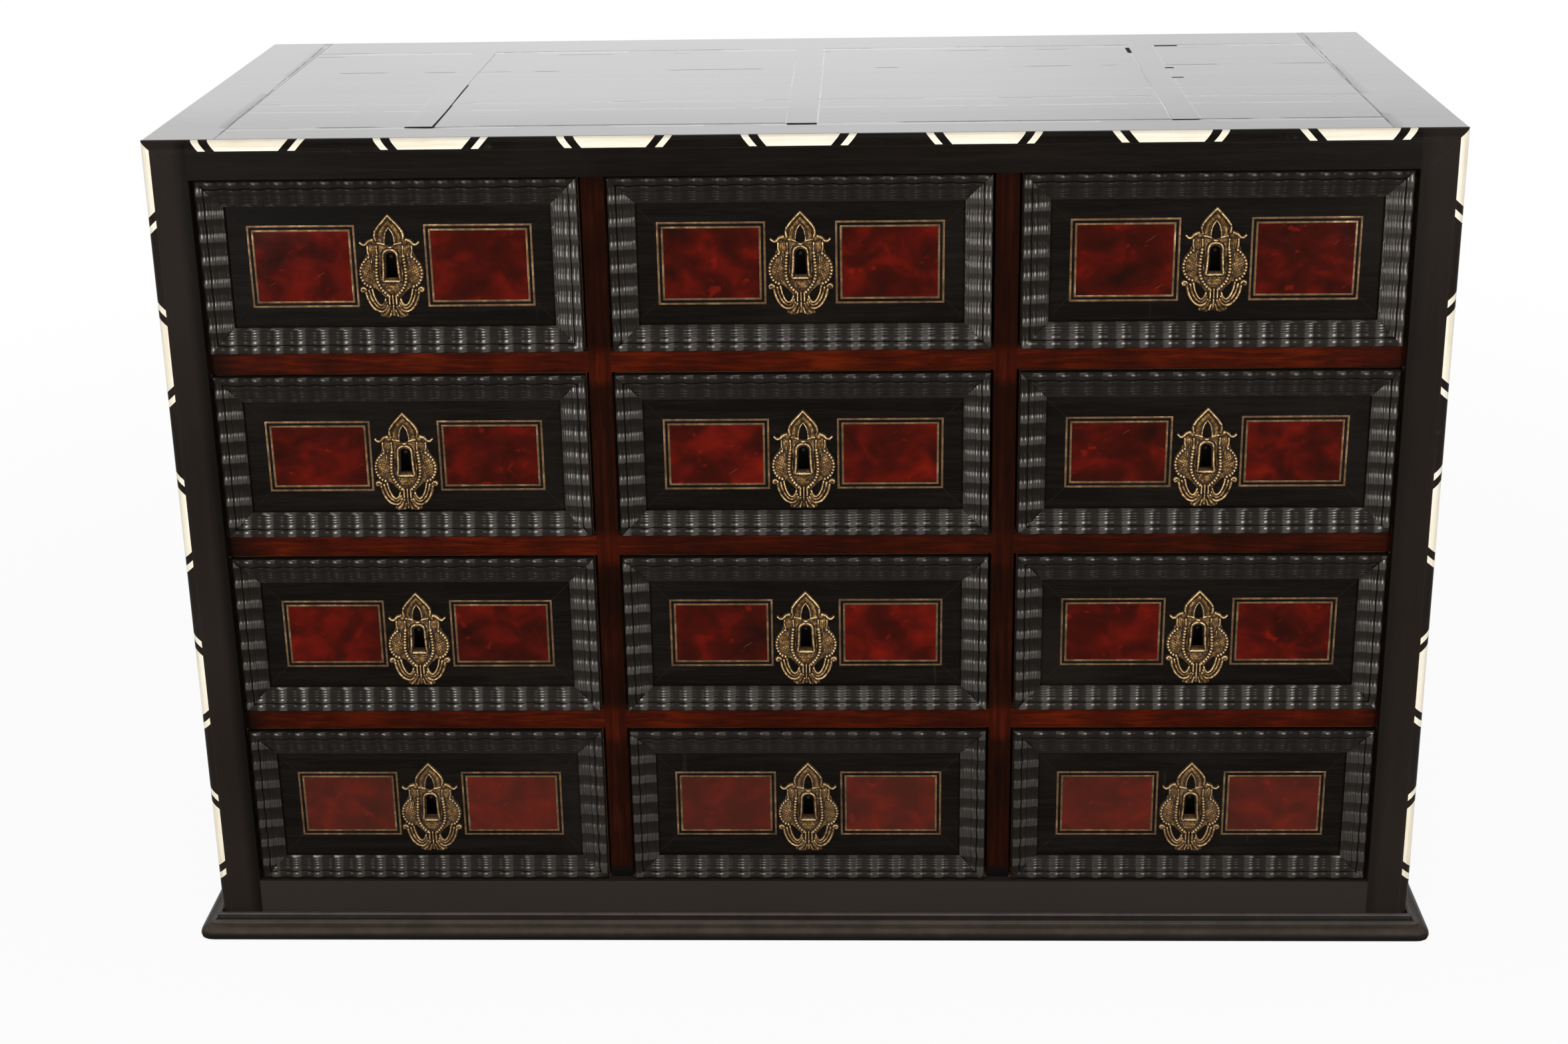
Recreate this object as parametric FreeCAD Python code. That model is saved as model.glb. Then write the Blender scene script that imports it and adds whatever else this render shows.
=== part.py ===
import FreeCAD
import Part
import os

os.makedirs("parts", exist_ok=True)

# A table cabinet with twelve locking drawers in an ebony-faced case.
# Millimetres. X runs to the right, Y to the back, Z up. The origin is at the middle of the
# footprint, on the surface that the cabinet stands on, and the drawers open towards -Y.

# Case and drawer openings
row_names = ("top", "upper", "lower", "bottom")
column_names = ("left", "middle", "right")
case_depth = 423.5
column_width = 276.5
top_row_height = 129.2
middle_row_height = 125.9
bottom_row_height = 128.0
shelf_thickness = 16.0
divider_thickness = 16.5
back_board_thickness = 10.0
bottom_board_thickness = 22.0
facing_thickness = 2.0
top_veneer_thickness = 2.5

# Front frame, whose outer edge is rounded
frame_side_width = 32.75
frame_top_width = 27.5
frame_bottom_width = 27.5
frame_thickness = 8.0
edge_land = 1.0

# Plinth moulding round the foot of the case
plinth_height = 18.5
plinth_projection = 15.5
plinth_nose_height = 11.6
plinth_fillet_height = 2.0
plinth_fillet_projection = 3.0
plinth_cove_height = 4.0

# Bone inlay in the rounded edge
bone_depth = 1.2
bone_long_side = 57.5
bone_slant = 6.3
bone_strip_gap = 6.6
bone_strip_width = 5.3
bone_period = 129.3
bone_side_first_drop = 27.0
bone_top_count = 7
bone_side_count = 5

# Veneer pattern on the top
top_end_band_width = 51.0
top_front_border_depth = 38.5
top_rear_border_depth = 55.5
top_strap_width = 19.5
top_strap_offset = 273.5

# Drawers
drawer_side_gap = 2.3
drawer_top_gap = 1.2
drawer_seat_gap = 0.3
drawer_back_gap = 2.0
drawer_front_thickness = 14.0
drawer_side_thickness = 8.0
drawer_back_thickness = 8.0
drawer_bottom_thickness = 5.0
drawer_side_drop = 7.0

# Ripple moulding round each drawer front
moulding_width = 19.4
moulding_height = 6.5

# Tortoiseshell plaques in double brass lines
plaque_width = 77.4
top_plaque_height = 60.4
plaque_height = 54.3
plaque_offset = 63.5
brass_line_width = 2.0
ebony_line_width = 1.8
plaque_depth = 1.2

# Escutcheon and keyhole
escutcheon_width = 48.6
escutcheon_height = 76.6
escutcheon_rises = (0.0, -4.0, -4.0, -2.4)    # each row's, from the drawer front's middle
escutcheon_thickness = 2.0
escutcheon_rim_width = 15.4
escutcheon_rim_rise = 1.2
escutcheon_rim_margin = 3.4
boss_offset = 15.6
boss_radius = 7.2
boss_rise = 2.0
boss_drop_share = 0.53
keyhole_radius = 3.6
keyhole_foot_width = 8.8
keyhole_drop = 15.2
keyhole_rise = 6.5    # of the drill pin, from the escutcheon's middle
keyhole_wood_margin = 0.8

# Lock
lock_case_width = 52.0
lock_case_foot = 24.0
lock_case_cover = 3.0
lock_wall = 1.5
lock_top_plate = 2.0
drill_pin_radius = 2.0
drill_pin_setback = 2.0
bolt_width = 24.0
bolt_shoulder = 5.0
bolt_thickness = 4.0
bolt_throw = 7.0
bolt_pin_reach = 12.0
bolt_notch_width = 10.0
bolt_notch_height = 6.0
bolt_clearance = 0.25
rest_stud_radius = 1.5
rest_stud_offset = 12.0
mortise_clearance = 1.0

overrun = 5.0

# Outline of half the escutcheon, as shares of its half width and of its height below the tip
escutcheon_outline_shares = (
    (0.18, 0.065), (0.34, 0.122), (0.46, 0.168), (0.43, 0.226), (0.64, 0.234), (0.76, 0.268),
    (0.90, 0.286), (0.78, 0.322), (0.77, 0.410), (0.88, 0.462), (1.00, 0.515), (1.00, 0.580),
    (0.91, 0.640), (0.80, 0.668), (0.96, 0.672), (1.00, 0.715), (0.96, 0.755), (0.83, 0.765),
    (0.81, 0.815), (0.71, 0.870), (0.54, 0.915), (0.36, 0.925), (0.28, 0.972), (0.16, 0.993),
)
escutcheon_arch_hole_shares = ((0.00, 0.142), (0.14, 0.185), (0.24, 0.235), (0.20, 0.285), (0.00, 0.300))
escutcheon_scroll_hole_shares = ((0.56, 0.728), (0.44, 0.745), (0.36, 0.800), (0.40, 0.855), (0.50, 0.830))

# Section of the ripple moulding, as shares of its width from the outer edge and of its height
moulding_section_shares = (
    (0.00, 0.00), (0.00, 0.84), (0.07, 1.00), (0.20, 0.95), (0.26, 0.80),
    (0.36, 0.88), (0.62, 0.66), (0.95, 0.30), (1.00, 0.17), (1.00, 0.00),
)

# Places that follow from the sizes above
row_count = len(row_names)
column_count = len(column_names)
row_heights = (top_row_height, middle_row_height, middle_row_height, bottom_row_height)
plaque_heights = (top_plaque_height, plaque_height, plaque_height, plaque_height)
opening_width = column_count * column_width + (column_count - 1) * divider_thickness
opening_bottom = plinth_height + frame_bottom_width
opening_top = opening_bottom + sum(row_heights) + (row_count - 1) * shelf_thickness
case_half_width = opening_width / 2 + frame_side_width
case_height = opening_top + frame_top_width
front_y = -(case_depth - plinth_projection) / 2
back_y = front_y + case_depth
face_y = front_y + frame_thickness
board_y = face_y + facing_thickness
inner_back_y = back_y - back_board_thickness
top_board_z = case_height - top_veneer_thickness
edge_radius = frame_thickness - edge_land
column_pitch = column_width + divider_thickness
column_centres = [(index - (column_count - 1) / 2) * column_pitch for index in range(column_count)]
front_board_back = board_y + drawer_front_thickness
drawer_width = column_width - 2 * drawer_side_gap
lock_back_y = front_board_back - lock_wall
bolt_back_y = lock_back_y - bolt_clearance
bolt_front_y = bolt_back_y - bolt_thickness

Vector = FreeCAD.Vector
origin = Vector(0, 0, 0)


def row_top(row):
    """Height of the top of a row's openings, counted from the top row down."""
    return opening_top - sum(row_heights[:row]) - row * shelf_thickness


def block(x_low, x_high, y_low, y_high, z_low, z_high):
    return Part.makeBox(x_high - x_low, y_high - y_low, z_high - z_low, Vector(x_low, y_low, z_low))


def front_prism(outline, y_low, y_high):
    """A closed outline of x, z points, carried from y_low to y_high."""
    corners = [Vector(x, y_low, z) for x, z in outline]
    face = Part.Face(Part.makePolygon(corners + corners[:1]))
    return face.extrude(Vector(0, y_high - y_low, 0))


def plan_prism(outline, z_low, z_high):
    """A closed outline of x, y points, carried from z_low to z_high."""
    corners = [Vector(x, y, z_low) for x, y in outline]
    face = Part.Face(Part.makePolygon(corners + corners[:1]))
    return face.extrude(Vector(0, 0, z_high - z_low))


def arc(start, middle, end):
    return Part.Arc(Vector(*start), Vector(*middle), Vector(*end)).toShape()


def line(start, end):
    return Part.LineSegment(Vector(*start), Vector(*end)).toShape()


def mirrored(shape):
    return shape.mirror(origin, Vector(1, 0, 0))


def shifted(shape, x):
    copy = shape.copy()
    copy.translate(Vector(x, 0, 0))
    return copy


def export(node, solids):
    Part.makeCompound(solids).exportStep("parts/" + node + ".step")


# Mitred frames. A section is drawn for the top side, at x = 0, as its inset below the outer
# edge and its y. It is turned about Y to run along the other sides of a rectangle.
side_turns = {"top": 0, "right": 90, "bottom": 180, "left": -90}


def side_run(section, side, rectangle):
    x_low, x_high, z_low, z_high = rectangle
    starts = {
        "top": (x_low, 0, z_high),
        "bottom": (x_low, 0, z_low),
        "left": (x_low, 0, z_low),
        "right": (x_high, 0, z_low),
    }
    face = section.copy()
    face.rotate(origin, Vector(0, 1, 0), side_turns[side])
    face.translate(Vector(*starts[side]))
    if side in ("top", "bottom"):
        return face.extrude(Vector(x_high - x_low, 0, 0))
    return face.extrude(Vector(0, 0, z_high - z_low))


def mitre_outline(side, outer, inner):
    """The four-cornered outline of one side of a frame between two rectangles."""
    ends = {
        "top": ((0, 3), (1, 3)),
        "bottom": ((0, 2), (1, 2)),
        "left": ((0, 2), (0, 3)),
        "right": ((1, 2), (1, 3)),
    }
    first, last = ends[side]
    places = ((outer, first), (outer, last), (inner, last), (inner, first))
    return [(rectangle[x], rectangle[z]) for rectangle, (x, z) in places]


def mitred_side(section, side, outer, inner, y_low, y_high):
    trim = front_prism(mitre_outline(side, outer, inner), y_low - overrun, y_high + overrun)
    return side_run(section, side, outer).common(trim).Solids[0]


def frame_section(width):
    """A frame member's section, with a quarter round between its outer side and its front."""
    corner = edge_radius * (1 - 0.5 ** 0.5)
    edges = [
        line((0, face_y, 0), (0, front_y + edge_radius, 0)),
        arc((0, front_y + edge_radius, 0), (0, front_y + corner, -corner), (0, front_y, -edge_radius)),
        line((0, front_y, -edge_radius), (0, front_y, -width)),
        line((0, front_y, -width), (0, face_y, -width)),
        line((0, face_y, -width), (0, face_y, 0)),
    ]
    return Part.Face(Part.Wire(edges))


def bone_section():
    """The section of the inlay: a quarter ring under the rounded edge's surface."""
    inner_radius = edge_radius - bone_depth
    outer_corner = edge_radius * (1 - 0.5 ** 0.5)
    inner_corner = edge_radius - inner_radius * 0.5 ** 0.5
    centre_y = front_y + edge_radius
    edges = [
        arc((0, centre_y, 0), (0, front_y + outer_corner, -outer_corner), (0, front_y, -edge_radius)),
        line((0, front_y, -edge_radius), (0, front_y + bone_depth, -edge_radius)),
        arc((0, front_y + bone_depth, -edge_radius), (0, front_y + inner_corner, -inner_corner),
            (0, centre_y, -bone_depth)),
        line((0, centre_y, -bone_depth), (0, centre_y, 0)),
    ]
    return Part.Face(Part.Wire(edges))


def bone_outlines(centre):
    """Outlines of one motif, as places along the edge and insets: a tapered piece, two strips."""
    half = bone_long_side / 2
    # the slanted ends keep their slope past the outer side, by the overrun
    spread = overrun * bone_slant / edge_radius
    outlines = [[(centre - half - spread, -overrun), (centre + half + spread, -overrun),
                 (centre + half - bone_slant, edge_radius), (centre - half + bone_slant, edge_radius)]]
    near = half + bone_strip_gap
    far = near + bone_strip_width
    for sign in (-1, 1):
        corners = [(near + spread, -overrun), (far + spread, -overrun),
                   (far - bone_slant, edge_radius), (near - bone_slant, edge_radius)]
        outlines.append([(centre + sign * along, inset) for along, inset in corners])
    return outlines


def bone_pieces(shell, outlines, placed):
    pieces = []
    for outline in outlines:
        corners = [placed(along, inset) for along, inset in outline]
        cutter = front_prism(corners, front_y - overrun, face_y + overrun)
        pieces += shell.common(cutter).Solids
    return pieces


# Front frame and bone inlay
outer_frame = (-case_half_width, case_half_width, 0, case_height)
inner_frame = (-opening_width / 2, opening_width / 2, 0, opening_top)
frame_sides = (outer_frame, inner_frame, front_y, face_y)
top_member = mitred_side(frame_section(frame_top_width), "top", *frame_sides)
left_member = mitred_side(frame_section(frame_side_width), "left", *frame_sides)
bottom_member = block(-opening_width / 2, opening_width / 2, front_y, face_y, 0, opening_bottom)

top_shell = mitred_side(bone_section(), "top", *frame_sides)
left_shell = mitred_side(bone_section(), "left", *frame_sides)
top_outlines = []
for index in range(bone_top_count):
    top_outlines += bone_outlines((index - (bone_top_count - 1) / 2) * bone_period)
side_outlines = []
for index in range(bone_side_count):
    side_outlines += bone_outlines(case_height - bone_side_first_drop - index * bone_period)
top_bones = bone_pieces(top_shell, top_outlines, lambda along, inset: (along, case_height - inset))
left_bones = bone_pieces(left_shell, side_outlines, lambda along, inset: (inset - case_half_width, along))
right_bones = [mirrored(piece) for piece in left_bones]

top_member = top_member.cut(Part.makeCompound(top_bones)).Solids[0]
left_member = left_member.cut(Part.makeCompound(left_bones)).Solids[0]
right_member = mirrored(left_member)
export("face_frame", [top_member, left_member, right_member, bottom_member])
export("bone_inlay", top_bones + left_bones + right_bones)


# Case boards. The top, bottom and back boards stand between the sides.
def inner_board(y_low, y_high, z_low, z_high):
    return block(-opening_width / 2, opening_width / 2, y_low, y_high, z_low, z_high)


side_board = block(-case_half_width, -opening_width / 2, face_y, back_y, 0, top_board_z)
bottom_board_z = opening_bottom - bottom_board_thickness
export("carcase_left_side", [side_board])
export("carcase_right_side", [mirrored(side_board)])
export("carcase_back_board", [inner_board(inner_back_y, back_y, 0, top_board_z)])
export("carcase_bottom_board", [inner_board(face_y, inner_back_y, bottom_board_z, opening_bottom)])


def mortise(column, ceiling):
    """Room for a thrown bolt, cut up into the board above a drawer."""
    half = bolt_width / 2 + mortise_clearance
    return block(column_centres[column] - half, column_centres[column] + half,
                 bolt_front_y - mortise_clearance, bolt_back_y + mortise_clearance,
                 ceiling - overrun, ceiling - drawer_top_gap + bolt_throw + mortise_clearance)


top_board = inner_board(face_y, inner_back_y, opening_top, top_board_z)
for column in range(column_count):
    top_board = top_board.cut(mortise(column, opening_top))
export("carcase_top_board", top_board.Solids)

dividers = []
shelves = []
facings = []
for gap in range(column_count - 1):
    x_low = column_centres[gap] + column_width / 2
    x_high = x_low + divider_thickness
    dividers.append(block(x_low, x_high, board_y, inner_back_y, opening_bottom, opening_top))
    facings.append(block(x_low, x_high, face_y, board_y, opening_bottom, opening_top))
for row in range(1, row_count):
    ceiling = row_top(row)
    for column in range(column_count):
        x_low = column_centres[column] - column_width / 2
        x_high = x_low + column_width
        shelf = block(x_low, x_high, board_y, inner_back_y, ceiling, ceiling + shelf_thickness)
        shelves += shelf.cut(mortise(column, ceiling)).Solids
        facings.append(block(x_low, x_high, face_y, board_y, ceiling, ceiling + shelf_thickness))
export("column_dividers", dividers)
export("drawer_shelves", shelves)
export("divider_facings", facings)


# Veneer on the top: end bands, front and rear borders, three straps and four fields between them
strap_front_y = face_y + top_front_border_depth
strap_back_y = back_y - top_rear_border_depth
band_x = case_half_width - top_end_band_width


def veneer(x_low, x_high, y_low, y_high):
    return block(x_low, x_high, y_low, y_high, top_board_z, case_height)


top_veneer = [
    veneer(-case_half_width, -band_x, face_y, back_y),
    veneer(band_x, case_half_width, face_y, back_y),
    veneer(-band_x, band_x, face_y, strap_front_y),
    veneer(-band_x, band_x, strap_back_y, back_y),
]
field_start = -band_x
for strap_centre in (-top_strap_offset, 0, top_strap_offset):
    strap_start = strap_centre - top_strap_width / 2
    strap_end = strap_centre + top_strap_width / 2
    top_veneer.append(veneer(field_start, strap_start, strap_front_y, strap_back_y))
    top_veneer.append(veneer(strap_start, strap_end, strap_front_y, strap_back_y))
    field_start = strap_end
top_veneer.append(veneer(field_start, band_x, strap_front_y, strap_back_y))
export("top_veneer", top_veneer)


# Plinth: a nosing, a cove above it and a small fillet at the top
def plinth_section():
    """Section of the front moulding in the plane x = 0, standing out from the case towards -Y."""
    nose_radius = plinth_nose_height / 2
    nose_y = front_y - plinth_projection + nose_radius
    cove_top = plinth_height - plinth_fillet_height
    cove_foot = cove_top - plinth_cove_height
    cove_y = front_y - plinth_fillet_projection - plinth_cove_height
    cove_middle = plinth_cove_height * 0.5 ** 0.5
    edges = [
        line((0, front_y, 0), (0, nose_y, 0)),
        arc((0, nose_y, 0), (0, nose_y - nose_radius, nose_radius), (0, nose_y, plinth_nose_height)),
        line((0, nose_y, plinth_nose_height), (0, cove_y, plinth_nose_height)),
        line((0, cove_y, plinth_nose_height), (0, cove_y, cove_foot)),
        arc((0, cove_y, cove_foot), (0, cove_y + cove_middle, cove_top - cove_middle),
            (0, cove_y + plinth_cove_height, cove_top)),
        line((0, cove_y + plinth_cove_height, cove_top), (0, cove_y + plinth_cove_height, plinth_height)),
        line((0, cove_y + plinth_cove_height, plinth_height), (0, front_y, plinth_height)),
        line((0, front_y, plinth_height), (0, front_y, 0)),
    ]
    return Part.Face(Part.Wire(edges))


plinth_half_width = case_half_width + plinth_projection
plinth_front_y = front_y - plinth_projection
front_run = plinth_section()
front_run.translate(Vector(-plinth_half_width, 0, 0))
front_run = front_run.extrude(Vector(2 * plinth_half_width, 0, 0))
front_trim = plan_prism([(-plinth_half_width, plinth_front_y), (plinth_half_width, plinth_front_y),
                         (case_half_width, front_y), (-case_half_width, front_y)], -overrun, case_height)
left_run = plinth_section()
left_run.translate(Vector(0, -front_y, 0))
left_run.rotate(origin, Vector(0, 0, 1), -90)
left_run.translate(Vector(-case_half_width, plinth_front_y, 0))
left_run = left_run.extrude(Vector(0, back_y - plinth_front_y, 0))
left_trim = plan_prism([(-plinth_half_width, plinth_front_y), (-case_half_width, front_y),
                        (-case_half_width, back_y), (-plinth_half_width, back_y)], -overrun, case_height)
left_plinth = left_run.common(left_trim).Solids[0]
export("plinth_moulding", [front_run.common(front_trim).Solids[0], left_plinth, mirrored(left_plinth)])


# Drawers. Each is worked out for the middle column and moved to its own.
def keyhole_prism(pin_z, margin, y_low, y_high):
    """A round-topped hole that widens to its foot."""
    radius = keyhole_radius + margin
    foot = keyhole_foot_width / 2 + margin
    foot_z = pin_z - keyhole_drop - margin
    edges = [
        arc((-radius, y_low, pin_z), (0, y_low, pin_z + radius), (radius, y_low, pin_z)),
        line((radius, y_low, pin_z), (foot, y_low, foot_z)),
        line((foot, y_low, foot_z), (-foot, y_low, foot_z)),
        line((-foot, y_low, foot_z), (-radius, y_low, pin_z)),
    ]
    return Part.Face(Part.Wire(edges)).extrude(Vector(0, y_high - y_low, 0))


def cylinder_along_y(radius, x, z, y_low, y_high):
    return Part.makeCylinder(radius, y_high - y_low, Vector(x, y_low, z), Vector(0, 1, 0))


def moulding_section():
    corners = [Vector(0, face_y - rise * moulding_height, -inset * moulding_width)
               for inset, rise in moulding_section_shares]
    return Part.Face(Part.makePolygon(corners + corners[:1]))


def ring(x_low, x_high, z_low, z_high, width):
    """A flat frame let into the field's front."""
    outer = block(x_low, x_high, face_y, face_y + plaque_depth, z_low, z_high)
    return outer.cut(block(x_low + width, x_high - width, face_y - overrun, face_y + plaque_depth + overrun,
                           z_low + width, z_high - width))


def plaque(centre_x, centre_z, height):
    """Two brass lines and the tortoiseshell inside them."""
    x_low = centre_x - plaque_width / 2
    x_high = centre_x + plaque_width / 2
    z_low = centre_z - height / 2
    z_high = centre_z + height / 2
    line_step = brass_line_width + ebony_line_width
    shell_step = line_step + brass_line_width
    outer_line = ring(x_low, x_high, z_low, z_high, brass_line_width)
    inner_line = ring(x_low + line_step, x_high - line_step, z_low + line_step, z_high - line_step,
                      brass_line_width)
    shell = block(x_low + shell_step, x_high - shell_step, face_y, face_y + plaque_depth,
                  z_low + shell_step, z_high - shell_step)
    return [outer_line, inner_line, shell]


def boss(x, z, plate_y):
    """A shallow dome that stands out from the plate's front."""
    sphere_radius = (boss_radius ** 2 + boss_rise ** 2) / (2 * boss_rise)
    sphere = Part.makeSphere(sphere_radius, Vector(x, plate_y - boss_rise + sphere_radius, z))
    return sphere.common(block(x - sphere_radius, x + sphere_radius, plate_y - boss_rise - overrun, plate_y,
                               z - sphere_radius, z + sphere_radius))


def escutcheon(pin_z, centre_z):
    """The pierced brass plate, from its half outline, with a raised keyhole rim and two bosses."""
    half_width = escutcheon_width / 2
    tip_z = centre_z + escutcheon_height / 2

    def place(shares, sign):
        return [(sign * x * half_width, tip_z - z * escutcheon_height) for x, z in shares]

    right = place(escutcheon_outline_shares, 1)
    left = place(escutcheon_outline_shares, -1)
    outline = [(0, tip_z)] + right + [(0, tip_z - escutcheon_height)] + left[::-1]
    plate_y = face_y - escutcheon_thickness
    plate = front_prism(outline, plate_y, face_y)
    rim_half = escutcheon_rim_width / 2
    rim_foot_z = pin_z - keyhole_drop - escutcheon_rim_margin
    rim_top_z = pin_z + keyhole_radius + escutcheon_rim_margin
    relief = [block(-rim_half, rim_half, plate_y - escutcheon_rim_rise, plate_y, rim_foot_z, rim_top_z)]
    boss_z = tip_z - boss_drop_share * escutcheon_height
    for sign in (-1, 1):
        relief.append(boss(sign * boss_offset, boss_z, plate_y))
    plate = plate.fuse(relief)
    arch_right = place(escutcheon_arch_hole_shares, 1)
    arch_left = place(escutcheon_arch_hole_shares[1:-1], -1)
    holes = [front_prism(arch_right + arch_left[::-1], plate_y - overrun, face_y + overrun)]
    for sign in (-1, 1):
        scroll = place(escutcheon_scroll_hole_shares, sign)
        holes.append(front_prism(scroll, plate_y - overrun, face_y + overrun))
    holes.append(keyhole_prism(pin_z, 0, plate_y - overrun, face_y + overrun))
    return plate.cut(Part.makeCompound(holes)).Solids[0]


def drawer_box(half, z_low, z_high, lock_z, pin_z):
    """Front board with room for the lock, two sides, a back and a bottom."""
    side_top = z_high - drawer_side_drop
    back_end = inner_back_y - drawer_back_gap
    inner = half - drawer_side_thickness
    back_start = back_end - drawer_back_thickness
    front_board = block(-half, half, board_y, front_board_back, z_low, z_high)
    lock_half = lock_case_width / 2
    front_board = front_board.cut(block(-lock_half, lock_half, board_y + lock_case_cover,
                                        front_board_back + overrun, lock_z, z_high + overrun))
    front_board = front_board.cut(keyhole_prism(pin_z, keyhole_wood_margin, face_y, front_board_back))
    return [
        front_board.Solids[0],
        block(-half, -inner, front_board_back, back_end, z_low, side_top),
        block(inner, half, front_board_back, back_end, z_low, side_top),
        block(-inner, inner, back_start, back_end, z_low, side_top),
        block(-inner, inner, front_board_back, back_start, z_low, z_low + drawer_bottom_thickness),
    ]


def drawer_face(half, z_low, z_high, pin_z, height):
    """The ebony field with its plaques, and the ripple mouldings round it."""
    centre_z = (z_low + z_high) / 2
    plaques = plaque(-plaque_offset, centre_z, height) + plaque(plaque_offset, centre_z, height)
    field = block(-half, half, face_y, board_y, z_low, z_high)
    field = field.cut(Part.makeCompound(plaques))
    field = field.cut(keyhole_prism(pin_z, keyhole_wood_margin, face_y - overrun, board_y + overrun))
    outer = (-half, half, z_low, z_high)
    inner = (-half + moulding_width, half - moulding_width, z_low + moulding_width, z_high - moulding_width)
    mouldings = [mitred_side(moulding_section(), side, outer, inner, face_y - moulding_height, face_y)
                 for side in side_turns]
    return [field.Solids[0]] + mouldings + plaques


def bolt_foot_z(pin_z):
    return pin_z + bolt_pin_reach


def drawer_lock(z_high, lock_z, pin_z, centre_z):
    """Escutcheon, lock case open to the front, drill pin, and the studs that the bolt rests on."""
    half = lock_case_width / 2
    case_front = board_y + lock_case_cover
    case = block(-half, half, case_front, front_board_back, lock_z, z_high)
    case = case.cut(block(-half + lock_wall, half - lock_wall, case_front - overrun, lock_back_y,
                          lock_z + lock_wall, z_high - lock_top_plate))
    slot = bolt_width / 2 + bolt_clearance
    case = case.cut(block(-slot, slot, bolt_front_y - bolt_clearance, lock_back_y,
                          z_high - lock_top_plate - overrun, z_high + overrun))
    pin = cylinder_along_y(drill_pin_radius, 0, pin_z, face_y + drill_pin_setback, lock_back_y)
    stud_z = bolt_foot_z(pin_z) - bolt_clearance - rest_stud_radius
    studs = [cylinder_along_y(rest_stud_radius, x, stud_z, bolt_front_y, lock_back_y)
             for x in (-rest_stud_offset, rest_stud_offset)]
    return [escutcheon(pin_z, centre_z), case.Solids[0], pin] + studs


def drawer_bolt(z_high, pin_z):
    """A flat bolt: a tongue up to the drawer's top edge and a wider body with a notch for the key."""
    tongue = bolt_width / 2
    body = tongue + bolt_shoulder
    shoulder_z = z_high - lock_top_plate - bolt_throw - bolt_clearance
    foot_z = bolt_foot_z(pin_z)
    notch = bolt_notch_width / 2
    notch_z = foot_z + bolt_notch_height
    outline = [(-body, foot_z), (-notch, foot_z), (-notch, notch_z), (notch, notch_z), (notch, foot_z),
               (body, foot_z), (body, shoulder_z), (tongue, shoulder_z), (tongue, z_high),
               (-tongue, z_high), (-tongue, shoulder_z), (-body, shoulder_z)]
    return [front_prism(outline, bolt_front_y, bolt_back_y)]


for row, row_name in enumerate(row_names):
    z_high = row_top(row) - drawer_top_gap
    z_low = row_top(row) - row_heights[row] + drawer_seat_gap
    centre_z = (z_low + z_high) / 2
    escutcheon_z = centre_z + escutcheon_rises[row]
    pin_z = escutcheon_z + keyhole_rise
    lock_z = pin_z - lock_case_foot
    half = drawer_width / 2
    parts = {
        "box": drawer_box(half, z_low, z_high, lock_z, pin_z),
        "front": drawer_face(half, z_low, z_high, pin_z, plaque_heights[row]),
        "lock": drawer_lock(z_high, lock_z, pin_z, escutcheon_z),
        "bolt": drawer_bolt(z_high, pin_z),
    }
    for column, column_name in enumerate(column_names):
        for part_name, solids in parts.items():
            node = row_name + "_" + column_name + "_drawer_" + part_name
            export(node, [shifted(solid, column_centres[column]) for solid in solids])
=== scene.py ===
import math
import bpy
import numpy as np
from mathutils import Matrix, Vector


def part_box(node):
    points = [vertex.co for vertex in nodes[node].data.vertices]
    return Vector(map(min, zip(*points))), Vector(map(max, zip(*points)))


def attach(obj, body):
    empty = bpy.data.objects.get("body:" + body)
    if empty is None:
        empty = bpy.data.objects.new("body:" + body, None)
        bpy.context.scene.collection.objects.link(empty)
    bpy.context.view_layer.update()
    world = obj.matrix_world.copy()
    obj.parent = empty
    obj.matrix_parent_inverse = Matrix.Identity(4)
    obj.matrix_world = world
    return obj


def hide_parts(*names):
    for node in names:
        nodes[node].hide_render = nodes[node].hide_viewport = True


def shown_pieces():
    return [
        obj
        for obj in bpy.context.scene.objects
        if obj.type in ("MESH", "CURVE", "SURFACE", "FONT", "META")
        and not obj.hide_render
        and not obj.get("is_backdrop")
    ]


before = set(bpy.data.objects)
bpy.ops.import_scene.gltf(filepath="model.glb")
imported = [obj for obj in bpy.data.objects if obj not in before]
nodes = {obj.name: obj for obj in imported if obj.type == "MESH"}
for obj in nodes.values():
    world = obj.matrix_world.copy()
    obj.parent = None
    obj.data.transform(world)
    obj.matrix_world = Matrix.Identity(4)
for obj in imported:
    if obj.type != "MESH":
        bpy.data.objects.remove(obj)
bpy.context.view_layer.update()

mm = 0.001
rng = np.random.default_rng(1650)

rowNames = ("top", "upper", "lower", "bottom")
columnNames = ("left", "middle", "right")


def span(node):
    # lowest and highest corner of a CAD node, in millimetres
    low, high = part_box(node)
    return np.array(low) / mm, np.array(high) / mm


caseLow, caseHigh = span("face_frame")
faceY = caseHigh[1]                       # the drawer fields' front plane
boardY = span("divider_facings")[1][1]    # the front boards' front plane
frontY = caseLow[1]
edgeX, edgeY, edgeZ = caseHigh[0] * mm, frontY * mm, caseHigh[2] * mm    # the case's outer planes in metres
openX = 0.43125                           # the side of the frame's opening, in metres
bottomRow = (0.16, 0.18)                  # the bottom row of drawers ends between these heights, in metres


# a mesh shell is its points, its quads and the outlines that close its ends

def gridQuads(rows, columns, wrapRows=False, wrapColumns=False):
    # faces of a grid whose point (r, c) has the index r * columns + c
    r = np.arange(rows if wrapRows else rows - 1)[:, None]
    c = np.arange(columns if wrapColumns else columns - 1)[None, :]
    below = (r + 1) % rows
    right = (c + 1) % columns
    corners = [r * columns + c, r * columns + right, below * columns + right, below * columns + c]
    return np.stack(np.broadcast_arrays(*corners), -1).reshape(-1, 4)


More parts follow.
